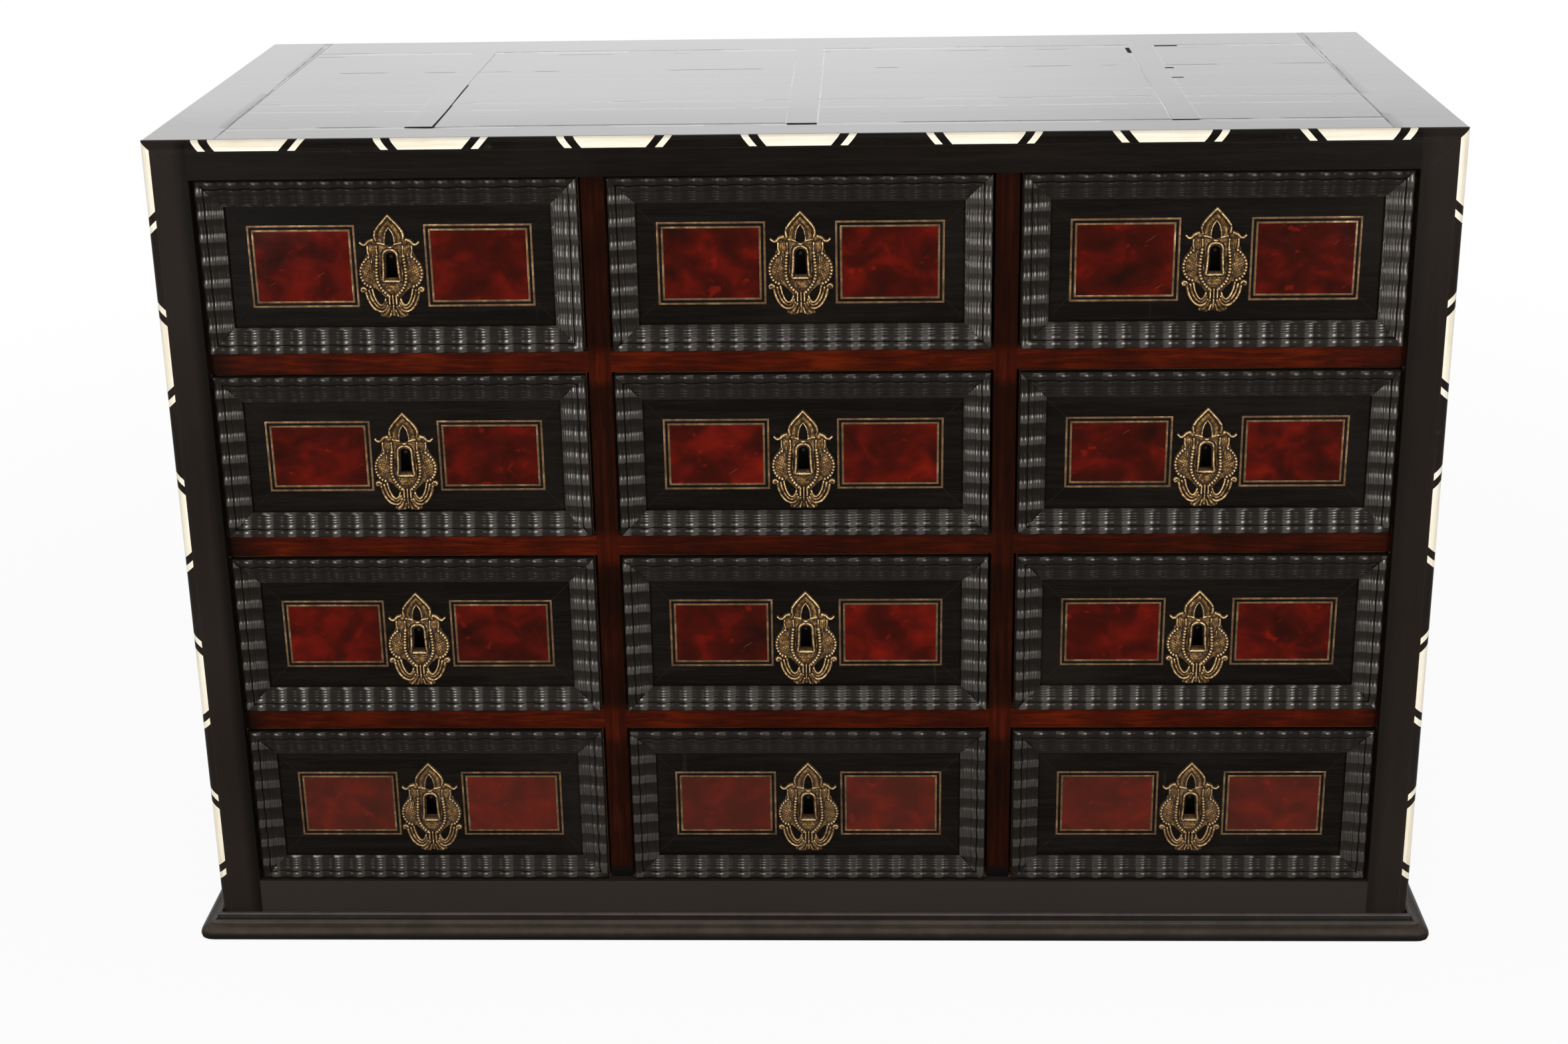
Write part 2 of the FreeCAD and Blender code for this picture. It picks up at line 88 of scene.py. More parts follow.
def outward(points, quads, caps=()):
    # a closed shell's volume is the sum of the tetrahedra from its middle to its faces;
    # where that is negative, every face is turned round
    middle = points - points.mean(0)
    triangles = [quads[:, [0, 1, 2]], quads[:, [0, 2, 3]]]
    for cap in caps:
        fan = np.array(cap)
        triangles.append(np.stack([np.full(len(fan) - 2, fan[0]), fan[1:-1], fan[2:]], 1))
    a, b, c = (middle[np.concatenate(triangles)[:, k]] for k in range(3))
    if np.einsum("ij,ij->i", a, np.cross(b, c)).sum() < 0:
        quads = quads[:, ::-1]
        caps = [list(cap)[::-1] for cap in caps]
    return points, quads, [list(cap) for cap in caps]


def tubeShell(rings):
    # rings is stations x profile points x 3; the first and last ring are closed flat
    stations, count = rings.shape[:2]
    quads = gridQuads(stations, count, wrapColumns=True)
    first = list(range(count))[::-1]
    last = list(range((stations - 1) * count, stations * count))
    return outward(rings.reshape(-1, 3), quads, [first, last])


def ringShell(rings):
    # rings closed both ways, like a picture frame
    return outward(rings.reshape(-1, 3), gridQuads(*rings.shape[:2], True, True))


def sheetShell(front, back):
    # two grids of points with a wall round their rim
    rows, columns = front.shape[:2]
    count = rows * columns
    index = np.arange(count).reshape(rows, columns)
    rim = np.concatenate([index[0, :-1], index[:-1, -1], index[-1, :0:-1], index[:0:-1, 0]])
    after = np.roll(rim, -1)
    wall = np.stack([after, rim, rim + count, after + count], 1)
    quads = gridQuads(rows, columns)
    points = np.concatenate([front.reshape(-1, 3), back.reshape(-1, 3)])
    return outward(points, np.concatenate([quads, quads[:, ::-1] + count, wall]))


def turnedShell(x, z, profile, around=20):
    # a lathe profile of (y, radius) pairs turned about the line through x, z along Y
    angles = np.linspace(0, 2 * np.pi, around, endpoint=False)
    y, radius = np.array(profile, float).T
    rings = np.stack([x + radius[:, None] * np.cos(angles), np.repeat(y[:, None], around, 1),
                      z + radius[:, None] * np.sin(angles)], -1)
    return tubeShell(rings)


def addPiece(name, shells, body, material, slot, replaced, centre=(0, 0, 0), sharp=35, values=None):
    # joins the shells into one mesh in metres, hangs it on its body and hides the CAD nodes it replaces
    points, faces, start = [], [], 0
    for shellPoints, quads, caps in shells:
        points.append(shellPoints)
        faces += (quads + start).tolist() + [[k + start for k in cap] for cap in caps]
        start += len(shellPoints)
    points = np.concatenate(points)
    mesh = bpy.data.meshes.new(name)
    mesh.from_pydata((points * mm).tolist(), [], faces)
    place = mesh.attributes.new("place", "FLOAT_VECTOR", "POINT")
    place.data.foreach_set("vector", ((points - np.array(centre)) * mm).astype(np.float32).ravel())
    for key, numbers in (values or {}).items():
        layer = mesh.attributes.new(key, "FLOAT", "POINT")
        layer.data.foreach_set("value", numbers.astype(np.float32))
    mesh.shade_smooth()
    mesh.set_sharp_from_angle(angle=math.radians(sharp))
    mesh.materials.append(material)
    piece = bpy.data.objects.new(name, mesh)
    bpy.context.scene.collection.objects.link(piece)
    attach(piece, body)
    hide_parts(*replaced)


class Level:
    # a number socket; sums on it add Math nodes
    def __init__(self, finish, socket):
        self.finish = finish
        self.socket = socket

    def maths(self, operation, *values):
        made = self.finish.node("ShaderNodeMath", {"operation": operation}, values)
        return Level(self.finish, made.outputs[0])

    def __add__(self, other):
        return self.maths("ADD", self, other)

    def __sub__(self, other):
        return self.maths("SUBTRACT", self, other)

    def __rsub__(self, other):
        return self.maths("SUBTRACT", other, self)

    def __mul__(self, other):
        return self.maths("MULTIPLY", self, other)

    def __truediv__(self, other):
        return self.maths("DIVIDE", self, other)

    def __pow__(self, other):
        return self.maths("POWER", self, other)

    def __abs__(self):
        return self.maths("ABSOLUTE", self)

    def top(self, other):
        return self.maths("MAXIMUM", self, other)

    def least(self, other):
        return self.maths("MINIMUM", self, other)

    def sine(self):
        return self.maths("SINE", self)

    def over(self, low, high, start=0.0, end=1.0):
        # eases from start at low to end at high, and holds there
        made = self.finish.node("ShaderNodeMapRange", {"interpolation_type": "SMOOTHSTEP"},
                                {0: self, 1: low, 2: high, 3: start, 4: end})
        return Level(self.finish, made.outputs[0])


class Finish:
    def __init__(self, name, tree=None):
        if tree is None:
            self.material = bpy.data.materials.new(name)
            self.material.use_nodes = True
            tree = self.material.node_tree
        self.tree = tree
        tree.nodes.clear()

    def node(self, kind, settings=None, sockets=None):
        # the one place where a node is made: settings first, then its sockets
        made = self.tree.nodes.new(kind)
        for key, value in (settings or {}).items():
            if key == "stops":
                ramp = made.color_ramp
                while len(ramp.elements) < len(value):
                    ramp.elements.new(1.0)
                for element, (position, colour) in zip(ramp.elements, value):
                    element.position = position
                    element.color = (*colour, 1.0)
            else:
                setattr(made, key, value)
        pairs = sockets.items() if isinstance(sockets, dict) else enumerate(sockets or ())
        for key, value in pairs:
            value = value.socket if isinstance(value, Level) else value
            if isinstance(value, bpy.types.NodeSocket):
                self.tree.links.new(value, made.inputs[key])
            else:
                made.inputs[key].default_value = value
        return made

    def objectPlace(self):
        return self.node("ShaderNodeTexCoord").outputs["Object"]

    def piecePlace(self):
        return self.node("ShaderNodeAttribute", {"attribute_name": "place"}).outputs["Vector"]

    def number(self, attribute):
        return Level(self, self.node("ShaderNodeAttribute", {"attribute_name": attribute}).outputs["Fac"])

    def split(self, vector):
        made = self.node("ShaderNodeSeparateXYZ", None, {0: vector})
        return [Level(self, made.outputs[k]) for k in range(3)]

    def join(self, x, y, z):
        return self.node("ShaderNodeCombineXYZ", None, (x, y, z)).outputs[0]

    def scaled(self, vector, scales):
        return self.node("ShaderNodeVectorMath", {"operation": "MULTIPLY"}, (vector, scales)).outputs[0]

    def shifted(self, vector, other):
        return self.node("ShaderNodeVectorMath", {"operation": "ADD"}, (vector, other)).outputs[0]

    def noise(self, vector, scale, detail, roughness, distortion=0.0):
        made = self.node("ShaderNodeTexNoise", {"noise_dimensions": "3D"},
                         {"Vector": vector, "Scale": scale, "Detail": detail, "Roughness": roughness,
                          "Distortion": distortion})
        return Level(self, made.outputs[0])

    def stretched(self, vector, scales, detail, roughness, distortion=0.0):
        # noise that is drawn out along the axes whose scale is small
        return self.noise(self.scaled(vector, scales), 1.0, detail, roughness, distortion)

    def mix(self, factor, first, second):
        first, second = ((*c, 1.0) if isinstance(c, tuple) else c for c in (first, second))
        return self.node("ShaderNodeMix", {"data_type": "RGBA"}, {0: factor, 6: first, 7: second}).outputs[2]

    def ramp(self, level, stops):
        return self.node("ShaderNodeValToRGB", {"stops": stops}, {0: level}).outputs[0]

    def bump(self, height, distance):
        return self.node("ShaderNodeBump", None, {"Height": height, "Distance": distance}).outputs[0]

    def shader(self, **sockets):
        return self.node("ShaderNodeBsdfPrincipled", None, {k.replace("_", " "): v for k, v in sockets.items()})

    def show(self, shader):
        self.node("ShaderNodeOutputMaterial", None, {"Surface": shader.outputs[0]})
        return self.material

    def blendShaders(self, factor, first, second):
        return self.node("ShaderNodeMixShader", None, (factor, first.outputs[0], second.outputs[0]))


def lineMask(level, centre, half):
    # 1 on a line, easing to 0 at the given half width
    return abs(level - centre).over(half * 0.5, half, 1.0, 0.0)


def between(level, low, high, soft=0.0004):
    # 1 from low to high, with soft ends
    return level.over(low - soft, low + soft) * level.over(high - soft, high + soft, 1.0, 0.0)


def highest(levels):
    # the greatest of several levels
    result = levels[0]
    for level in levels[1:]:
        result = result.top(level)
    return result


def inBottomRow(finish, place, strength):
    # a strength on the bottom row of drawers, 0 above it
    return finish.split(place)[2].over(*bottomRow, strength, 0.0)


ebonyColours = {
    "deep": (0.0042, 0.0032, 0.0024), "streak": (0.0095, 0.0070, 0.0052), "worn": (0.019, 0.0150, 0.0118),
    "rough": (0.24, 0.42)}


def ebonyBase(finish, place, grain, colours=ebonyColours):
    # long fine streaks along the grain, over slow cloudy changes of polish
    broad = finish.stretched(place, grain, 5.0, 0.6, 0.3)
    fine = finish.stretched(place, tuple(g * 5.0 for g in grain), 3.0, 0.7)
    cloud = finish.noise(place, 9.0, 3.0, 0.5)
    streaks = (broad * 0.6 + fine * 0.4).over(0.42, 0.68)
    colour = finish.mix(streaks, colours["deep"], colours["streak"])
    colour = finish.mix(cloud.over(0.5, 0.8) * 0.35, colour, colours["worn"])
    rough = (cloud * 0.6 + fine * 0.4).over(0.35, 0.7, *colours["rough"])
    return colour, rough, fine


fieldSeam = {"x": 0.1022, "z": 0.0272, "half": 0.0006}    # the plaques' outer corners from a drawer's middle


def fieldEbony(seam=fieldSeam):
    f = Finish("field_ebony")
    place = f.objectPlace()
    colour, rough, fine = ebonyBase(f, place, (9.0, 160.0, 160.0))
    x, _, z = f.split(f.piecePlace())
    # the border veneer is mitred from the plaques' corners to the moulding's
    mitre = lineMask((abs(x) - seam["x"]) - (abs(z) - seam["z"]), 0.0, seam["half"])
    mitre = mitre * abs(x).over(seam["x"] - 0.0004, seam["x"] + 0.0004)
    scratch = f.stretched(place, (120.0, 120.0, 14.0), 2.0, 0.5).over(0.72, 0.76)
    colour = f.mix(mitre * 0.25, colour, (0.024, 0.019, 0.015))
    colour = f.mix(scratch * 0.05, colour, (0.12, 0.1, 0.085))
    normal = f.bump(fine - mitre, 0.00008)
    return f.show(f.shader(Base_Color=colour, Roughness=rough, Specular_IOR_Level=0.025, Normal=normal))


def rippleEbony():
    # polished on the crests; dull in the hollows of the wave and along the grooves, partly wax and dust gathered there
    # and partly painted shade
    f = Finish("ripple_ebony")
    place = f.objectPlace()
    colour, rough, _ = ebonyBase(f, place, (60.0, 60.0, 60.0))
    patches = f.noise(place, 160.0, 3.0, 0.6)
    # the hollows of the wave are dull, partly wax and partly painted shade
    valley = (f.number("crest") + (patches - 0.5) * 0.2).over(0.55, 0.96, 1.0, 0.0) * f.number("wax")
    valley = valley.top(inBottomRow(f, place, 0.45))    # the bottom row is duller all over
    # the grooves' dullness is partly dirt and partly painted shade, and carries each member's painted shade
    groove = f.number("dirt").over(0.1, 0.9) * 0.94
    colour = f.mix(patches.over(0.4, 0.7) * 0.5, colour, (0.022, 0.0165, 0.0125))
    normal = f.bump(patches + f.noise(place, 900.0, 2.0, 0.6) * 0.3, 0.00004)
    polished = f.shader(Base_Color=colour, Roughness=rough * 0.5 + 0.08, Specular_IOR_Level=0.78,
                        Specular_Tint=(1.0, 0.92, 0.84, 1.0), Normal=normal)
    wax = f.mix(patches, (0.0045, 0.0033, 0.0024), (0.0105, 0.0081, 0.0061))
    dull = f.shader(Base_Color=wax, Roughness=0.6, Specular_IOR_Level=0.05, Normal=normal)
    return f.show(f.blendShaders(valley.top(groove), polished, dull))


frameMarks = {
    # a fine line runs this far inside the case's edge
    "line": 0.0078, "wear": 0.006,
    # heights where the top corners' mitres begin, the bottom corners' joints end and the bottom member ends
    "mitre": (0.602, 0.6035), "joint": (0.045, 0.0465), "foot": (0.05, 0.06)}


def frameEbony(marks=frameMarks):
    f = Finish("frame_ebony")
    place = f.objectPlace()
    x, _, z = f.split(place)
    side = abs(x).over(openX - 0.00045, openX + 0.00035)
    low = z.over(*marks["foot"], 1.0, 0.0)
    flat, flatRough, flatFine = ebonyBase(f, place, (7.0, 130.0, 130.0))
    upright, uprightRough, uprightFine = ebonyBase(f, place, (130.0, 130.0, 7.0))
    colour = f.mix(side, flat, upright)
    fromSide, fromTop = edgeX - abs(x), edgeZ - z
    inset = fromSide.least(fromTop)
    edge = lineMask(inset, marks["line"], 0.0006)
    corner = lineMask(fromSide - fromTop, 0.0, 0.0007) * z.over(*marks["mitre"])
    joint = lineMask(abs(x), openX, 0.0006) * z.over(*marks["joint"], 1.0, 0.0)
    seams = highest([edge * 0.5, corner, joint])
    wear = f.noise(place, 55.0, 4.0, 0.7).over(0.6, 0.75) * abs(inset - marks["wear"]).over(0.0, 0.005, 1.0, 0.0)
    # the uprights and the bottom member are warmer, and the bottom member is paler too
    warm = f.noise(place, 5.0, 2.0, 0.5).over(0.25, 0.75, 0.5, 1.0) * side.top(low).top(0.12)
    colour = f.mix(warm * 0.85, colour, (0.0245, 0.0185, 0.0150))
    colour = f.mix(low * 0.7 * (1 - side), colour, (0.0330, 0.0265, 0.0225))
    colour = f.mix(seams * 0.3, colour, (0.04, 0.033, 0.028))
    # painted shade on the uprights along the opening, more on the left
    grimeAndShade = abs(x).over(openX + 0.00055, openX + 0.01175, 0.85, 0.0) * side * x.over(-0.1, 0.1, 1.0, 0.45)
    colour = f.mix(grimeAndShade, colour, (0.0042, 0.0034, 0.0028))
    colour = f.mix(wear * 0.18, colour, (0.12, 0.095, 0.075))
    rough = flatRough * (1 - side) + uprightRough * side
    normal = f.bump(flatFine * (1 - side) + uprightFine * side - seams, 0.0001)
    return f.show(f.shader(Base_Color=colour, Roughness=rough, Specular_IOR_Level=0.02, Normal=normal))


plinthBands = {
    # heights from the ground up: the dull foot, the round and its upper part, the lower edge, the hollow, the top edge
    "foot": (0.001, 0.007), "round": (0.003, 0.0095), "upper": (0.0085, 0.0130), "lowEdge": (0.0130, 0.0138),
    "hollow": (0.0141, 0.0172), "topEdge": (0.0172, 0.0178)}


def plinthEbony(bands=plinthBands):
    f = Finish("plinth_ebony")
    place = f.objectPlace()
    x, y, z = f.split(place)
    colour, rough, fine = ebonyBase(f, place, (8.0, 150.0, 150.0))
    # grey over the round's upper half and above, partly wear and partly painted sheen; painted highlights on the top of
    # the round and on the edges that face up; painted shade in the hollow; the foot is dull and dark
    worn = f.noise(place, 30.0, 5.0, 0.7)
    rubAndSheen = worn.over(0.45, 0.75, 0.55, 1.0) * z.over(*bands["round"])
    colour = f.mix(rubAndSheen * 0.8, colour, (0.042, 0.032, 0.0245))
    # painted highlight on the upper part of the round, mottled
    upper = between(z, *bands["upper"], 0.001) * worn.over(0.35, 0.7, 0.55, 1.0)
    colour = f.mix(upper, colour, (0.066, 0.051, 0.039))
    # painted shade in the hollow
    colour = f.mix(between(z, *bands["hollow"], 0.0003) * 0.75, colour, (0.005, 0.004, 0.003))
    # painted highlight on the two edges that face up, mottled
    edges = between(z, *bands["lowEdge"], 0.0002).top(z.over(*bands["topEdge"]))
    colour = f.mix(edges * worn.over(0.3, 0.6, 0.7, 1.0), colour, (0.105, 0.088, 0.077))
    mitre = lineMask((edgeX - abs(x)) + (edgeY - y), 0.0, 0.0006) * abs(x).over(edgeX, edgeX + 0.0005)
    colour = f.mix(mitre * 0.6, colour, (0.002, 0.002, 0.002))
    normal = f.bump(fine - mitre, 0.00015)
    polished = f.shader(Base_Color=colour, Roughness=rough * 0.7 + 0.1, Specular_IOR_Level=0.05, Normal=normal)
    dull = f.shader(Base_Color=colour, Roughness=0.9, Specular_IOR_Level=0.0)
    return f.show(f.blendShaders(z.over(*bands["foot"], 0.92, 0.0), polished, dull))


topMarks = {
    # lines across: how far from the front plane, half width, strength
    "pale": ((0.0468, 0.0009, 0.5), (0.108, 0.0012, 1.0), (0.136, 0.0011, 0.85), (0.171, 0.0008, 0.55),
             (0.232, 0.0008, 0.5), (0.310, 0.0008, 0.4), (0.368, 0.0012, 0.8)),
    "dark": ((0.273, 0.0009, 0.8), (0.1385, 0.0007, 0.5), (0.352, 0.0009, 0.6)),
    # the lines across end at the end bands; a band's joint slants a little from front to back
    "across": (0.411, 0.4125), "band": 0.4126, "bandSlope": 0.013,
    # dark marks: x from and to, depth from and to
    "gaps": ((-0.2644, -0.2624, 0.047, 0.130), (-0.2642, -0.2630, 0.130, 0.215), (-0.2840, -0.2622, 0.0432, 0.0490),
             (-0.2620, -0.2320, 0.0452, 0.0464), (0.2645, 0.2850, 0.0462, 0.0482), (0.2835, 0.2925, 0.2130, 0.2170),
             (0.2800, 0.2900, 0.2560, 0.2610), (0.2860, 0.3050, 0.3605, 0.3665), (0.2610, 0.2660, 0.3300, 0.3560),
             (-0.0100, 0.0125, 0.0455, 0.0465)),
    # edges of the straps with old pale stopping: x, half width, strength
    "stopping": ((0.2640, 0.0010, 0.9), (0.2845, 0.0007, 0.35), (-0.0100, 0.0009, 0.7), (0.0122, 0.0009, 0.75),
                 (-0.2838, 0.0006, 0.3)), "strapDepth": (0.047, 0.366),
    # the round stain left of the middle, near the front: its place and the squares of its half sizes
    "stain": {"x": -0.156, "depth": 0.073, "wide": 0.0022, "deep": 0.0009}}


def topLines(f, place, x, depth, marks):
    # pale is old stopping in the joints, and gaps are joints and breaks that stand open
    inner = abs(x).over(*marks["across"], 1.0, 0.0)
    wander = (f.stretched(place, (9.0, 0.0, 0.0), 2.0, 0.5) - 0.5) * 0.0016
    broken = f.stretched(place, (30.0, 6.0, 0.0), 3.0, 0.6).over(0.36, 0.54, 0.15, 1.0)
    dashes = f.stretched(place, (17.0, 9.0, 0.0), 1.0, 0.5).over(0.52, 0.58)
    dots = f.stretched(place, (20.0, 75.0, 0.0), 2.0, 0.6)
    edges = [lineMask(x + wander * 0.5, centre, half) * between(depth, *marks["strapDepth"]) * strength
             for centre, half, strength in marks["stopping"]]
    pale = [lineMask(depth + wander, centre, half) * strength * inner * broken
            for centre, half, strength in marks["pale"]]
    pale += [edge * dots.over(0.34, 0.46) for edge in edges]
    gaps = [edge * dots.over(0.26, 0.34, 0.6, 0.0) for edge in edges]
    gaps += [lineMask(depth + wander, centre, half) * dashes * inner * strength
             for centre, half, strength in marks["dark"]]
    gaps += [between(x, low, high) * between(depth, near, far, 0.0006) * 0.95 for low, high, near, far in marks["gaps"]]
    shake = (f.stretched(place, (0.0, 11.0, 0.0), 3.0, 0.6) - 0.5) * 0.004
    band = lineMask(abs(x) + shake - depth * marks["bandSlope"], marks["band"], 0.0007)
    gaps.append(band * f.stretched(place, (0.0, 40.0, 0.0), 2.0, 0.5).over(0.36, 0.6, 0.15, 0.55))
    return highest(pale), highest(gaps)


def topEbony(name, lines=True, marks=topMarks):
    # most of its light is the studio's, mirrored
    f = Finish(name)
    place = f.objectPlace()
    x, y, _ = f.split(place)
    depth = y - edgeY
    colour, _, _ = ebonyBase(f, place, (5.0, 90.0, 90.0))
    cloud = f.stretched(place, (2.2, 4.0, 4.0), 4.0, 0.55)
    streak = f.stretched(place, (2.4, 260.0, 1.0), 3.0, 0.6)
    # the wax is haziest near the middle
    haze = abs(x + 0.04).over(0.06, 0.5, 1.0, 0.0) * 0.6 + cloud.over(0.35, 0.7) * 0.4
    colour = f.mix(haze * 0.6, colour, (0.055, 0.050, 0.055))
    colour = f.mix(streak.over(0.5, 0.75) * 0.13, colour, (0.17, 0.16, 0.165))
    rough = streak.over(0.3, 0.8, 0.10, 0.17) + cloud * 0.05
    normal = f.bump(f.stretched(place, (5.0, 12.0, 1.0), 2.0, 0.5), 0.0003)
    gaps = 0.0
    if lines:
        pale, gaps = topLines(f, place, x, depth, marks)
        spot = marks["stain"]
        across, inward = x - spot["x"], depth - spot["depth"]
        ring = (across * across / spot["wide"] + inward * inward / spot["deep"]) ** 0.5
        stain = ring.over(0.6, 1.15, 1.0, 0.0) * f.noise(place, 60.0, 3.0, 0.6).over(0.35, 0.6)
        colour = f.mix(pale, colour, (0.78, 0.75, 0.71))
        colour = f.mix(stain * 0.5, colour, (0.004, 0.004, 0.004))
        rough = rough + pale * 0.2
    # the polish is thinner towards the right, along the front and at the left end
    coat = 1 - x.over(0.08, 0.3, 0.0, 0.30)
    coat = coat * (1 - depth.over(0.05, 0.16, 0.22, 0.0)) * (1 - x.over(-0.4, -0.2, 0.12, 0.0))
    polished = f.shader(Base_Color=colour, Roughness=rough, Specular_IOR_Level=0.5, IOR=1.5, Coat_Weight=coat,
                        Specular_Tint=(1.0, 0.93, 0.94, 1.0), Coat_Roughness=0.06, Coat_IOR=1.5, Normal=normal)
    dull = f.shader(Base_Color=(0.006, 0.005, 0.005, 1.0), Roughness=0.9, Specular_IOR_Level=0.02)
    return f.show(f.blendShaders(gaps, polished, dull))


sideLines = {
    # joints of the veneer: depths from the front plane, heights, and the middle strap's place and half width
    "depths": (0.047, 0.376), "heights": (0.075, 0.575), "strap": (0.212, 0.0098), "half": 0.0006}


def sideEbony(lines=sideLines):
    # veneered like the top: a border, a middle strap and the fields between them; plain wood inside
    f = Finish("side_ebony")
    place = f.objectPlace()
    x, y, z = f.split(place)
    depth = y - edgeY
    colour, rough, fine = ebonyBase(f, place, (90.0, 6.0, 90.0))
    middle, half = lines["strap"]
    joints = [lineMask(depth, at, lines["half"]) for at in lines["depths"]]
    joints += [lineMask(z, at, lines["half"]) for at in lines["heights"]]
    joints.append(lineMask(abs(depth - middle), half, lines["half"]) * between(z, *lines["heights"]))
    border = highest(joints)
    outside = abs(x).over(openX + 0.00025, openX + 0.00125)
    wood = f.stretched(place, (80.0, 5.0, 110.0), 5.0, 0.6)
    inside = f.ramp(wood, [(0.3, (0.10, 0.055, 0.028)), (0.55, (0.20, 0.12, 0.062)), (0.8, (0.30, 0.19, 0.105))])
    colour = f.mix(border * 0.6, colour, (0.10, 0.085, 0.07))
    colour = f.mix(outside, inside, colour)
    rough = rough * outside + (1 - outside) * 0.7
    normal = f.bump(fine - border * 2.0, 0.0001)
    return f.show(f.shader(Base_Color=colour, Roughness=rough, Specular_IOR_Level=0.35, Normal=normal))


def boneFinish():
    f = Finish("cream_bone")
    place = f.objectPlace()
    x, _, z = f.split(place)
    # the side pieces' grain runs up, the top pieces' grain runs across
    upright = abs(x).over(edgeX - 0.009, edgeX - 0.0075) * z.over(edgeZ - 0.008, edgeZ - 0.007, 1.0, 0.0)
    along = f.stretched(place, (14.0, 420.0, 420.0), 4.0, 0.6)
    up = f.stretched(place, (420.0, 420.0, 14.0), 4.0, 0.6)
    grain = along * (1 - upright) + up * upright
    cloud = f.noise(place, 45.0, 3.0, 0.5)
    colour = f.ramp(grain, [(0.25, (0.82, 0.71, 0.52)), (0.5, (0.95, 0.87, 0.70)), (0.75, (0.97, 0.93, 0.81))])
    colour = f.mix(cloud.over(0.55, 0.8) * 0.4, colour, (0.72, 0.60, 0.40))
    pores = f.noise(place, 1500.0, 2.0, 0.5).over(0.66, 0.72)
    colour = f.mix(pores * 0.35, colour, (0.30, 0.21, 0.12))
    normal = f.bump(grain, 0.00008)
    return f.show(f.shader(Base_Color=colour, Roughness=cloud.over(0.3, 0.7, 0.28, 0.45),
                           Specular_IOR_Level=0.5, Normal=normal))


shellColours = {
    # colours and the levels where they lie, from dark clouds to lit ones
    "stops": [(0.34, (0.0165, 0.0038, 0.0022)), (0.49, (0.048, 0.0044, 0.0024)), (0.62, (0.108, 0.0062, 0.0030)),
              (0.78, (0.19, 0.012, 0.004))],
    "glow": (0.27, 0.014, 0.005), "haze": (0.10, 0.028, 0.018), "hair": (0.3, 0.1, 0.07),
    "cloud": 40.0, "fleck": 170.0}    # noise scales


def shellFinish(colours=shellColours):
    f = Finish("red_shell")
    place = f.objectPlace()
    turned = f.node("ShaderNodeMapping", None, {"Vector": place, "Rotation": (0.0, 0.7, 0.0),
                                                "Scale": (1.0, 0.4, 1.25)}).outputs[0]
    sway = f.noise(place, 30.0, 2.0, 0.5)
    warped = f.shifted(turned, f.scaled(f.join(sway, sway, sway), (0.012, 0.0, 0.009)))
    clouds = f.noise(warped, colours["cloud"], 2.0, 0.5, 0.4)
    flecks = f.noise(warped, colours["fleck"], 3.0, 0.6)
    slow = f.noise(place, 11.0, 1.0, 0.5)
    tone = f.noise(place, 5.3, 0.0, 0.5)
    colour = f.ramp(clouds * 0.62 + flecks * 0.08 + slow * 0.2 + tone * 0.12, colours["stops"])
    glow = f.noise(warped, 95.0, 2.0, 0.5).over(0.64, 0.76)
    colour = f.mix(glow * 0.35, colour, colours["glow"])
    colour = f.mix(inBottomRow(f, place, 0.38), colour, colours["haze"])    # painted haze of the lamps' reflection on the bottom row
    hair = f.stretched(turned, (40.0, 1.0, 700.0), 1.0, 0.5).over(0.76, 0.78)
    colour = f.mix(hair * 0.3, colour, colours["hair"])
    normal = f.bump(clouds, 0.0001)
    return f.show(f.shader(Base_Color=colour, Roughness=flecks.over(0.3, 0.7, 0.12, 0.26),
                           Specular_IOR_Level=0.02, Normal=normal))


def brassLineFinish():
    f = Finish("brass_line")
    place = f.objectPlace()
    tarnish = f.noise(place, 140.0, 4.0, 0.6)
    colour = f.ramp(tarnish, [(0.3, (0.046, 0.022, 0.008)), (0.55, (0.120, 0.064, 0.027)),
                              (0.75, (0.26, 0.165, 0.085))])
    normal = f.bump(f.noise(place, 1200.0, 2.0, 0.5), 0.00005)
    return f.show(f.shader(Base_Color=colour, Metallic=0.75, Roughness=tarnish.over(0.3, 0.7, 0.5, 0.32),
                           Normal=normal))


def castBrassFinish():
    # brown tarnish; black patina in the hollows with painted shade on steep faces and faces turned down; rubbed bright
    # on the ridges with a painted highlight on faces turned up
    f = Finish("cast_brass")
    place = f.objectPlace()
    tarnish = f.noise(place, 210.0, 5.0, 0.7)
    pits = f.noise(place, 620.0, 3.0, 0.65)
    grimeAndShade = f.noise(place, 420.0, 3.0, 0.7)
    colour = f.ramp(tarnish * 0.5 + grimeAndShade * 0.5, [(0.36, (0.025, 0.012, 0.004)), (0.5, (0.105, 0.053, 0.016)),
                                                  (0.64, (0.26, 0.150, 0.056))])
    # rubbed brightness on the ridges, with a painted highlight on faces turned up
    rubbedAndHighlight = (f.number("ridge") + (tarnish - 0.5) * 0.7 + (grimeAndShade - 0.5) * 0.9).over(0.25, 0.95)
    colour = f.mix(rubbedAndHighlight, colour, (0.56, 0.39, 0.195))
    colour = f.mix(inBottomRow(f, place, 0.4), colour, (0.115, 0.064, 0.028))    # the bottom row's is browner
    # dark patina in the hollows, with painted shade on steep faces and faces turned down
    hollow = (f.number("hollow") + (pits - 0.5) * 0.5).over(0.09, 0.5)
    colour = f.mix(hollow * 0.96, colour, (0.012, 0.0055, 0.0025))
    rough = rubbedAndHighlight.over(0.0, 1.0, 0.5, 0.27) + hollow * 0.22
    normal = f.bump(pits + f.noise(place, 1700.0, 2.0, 0.6) * 0.3, 0.00022)
    return f.show(f.shader(Base_Color=colour, Metallic=0.92 - hollow * 0.7, Roughness=rough, Normal=normal))


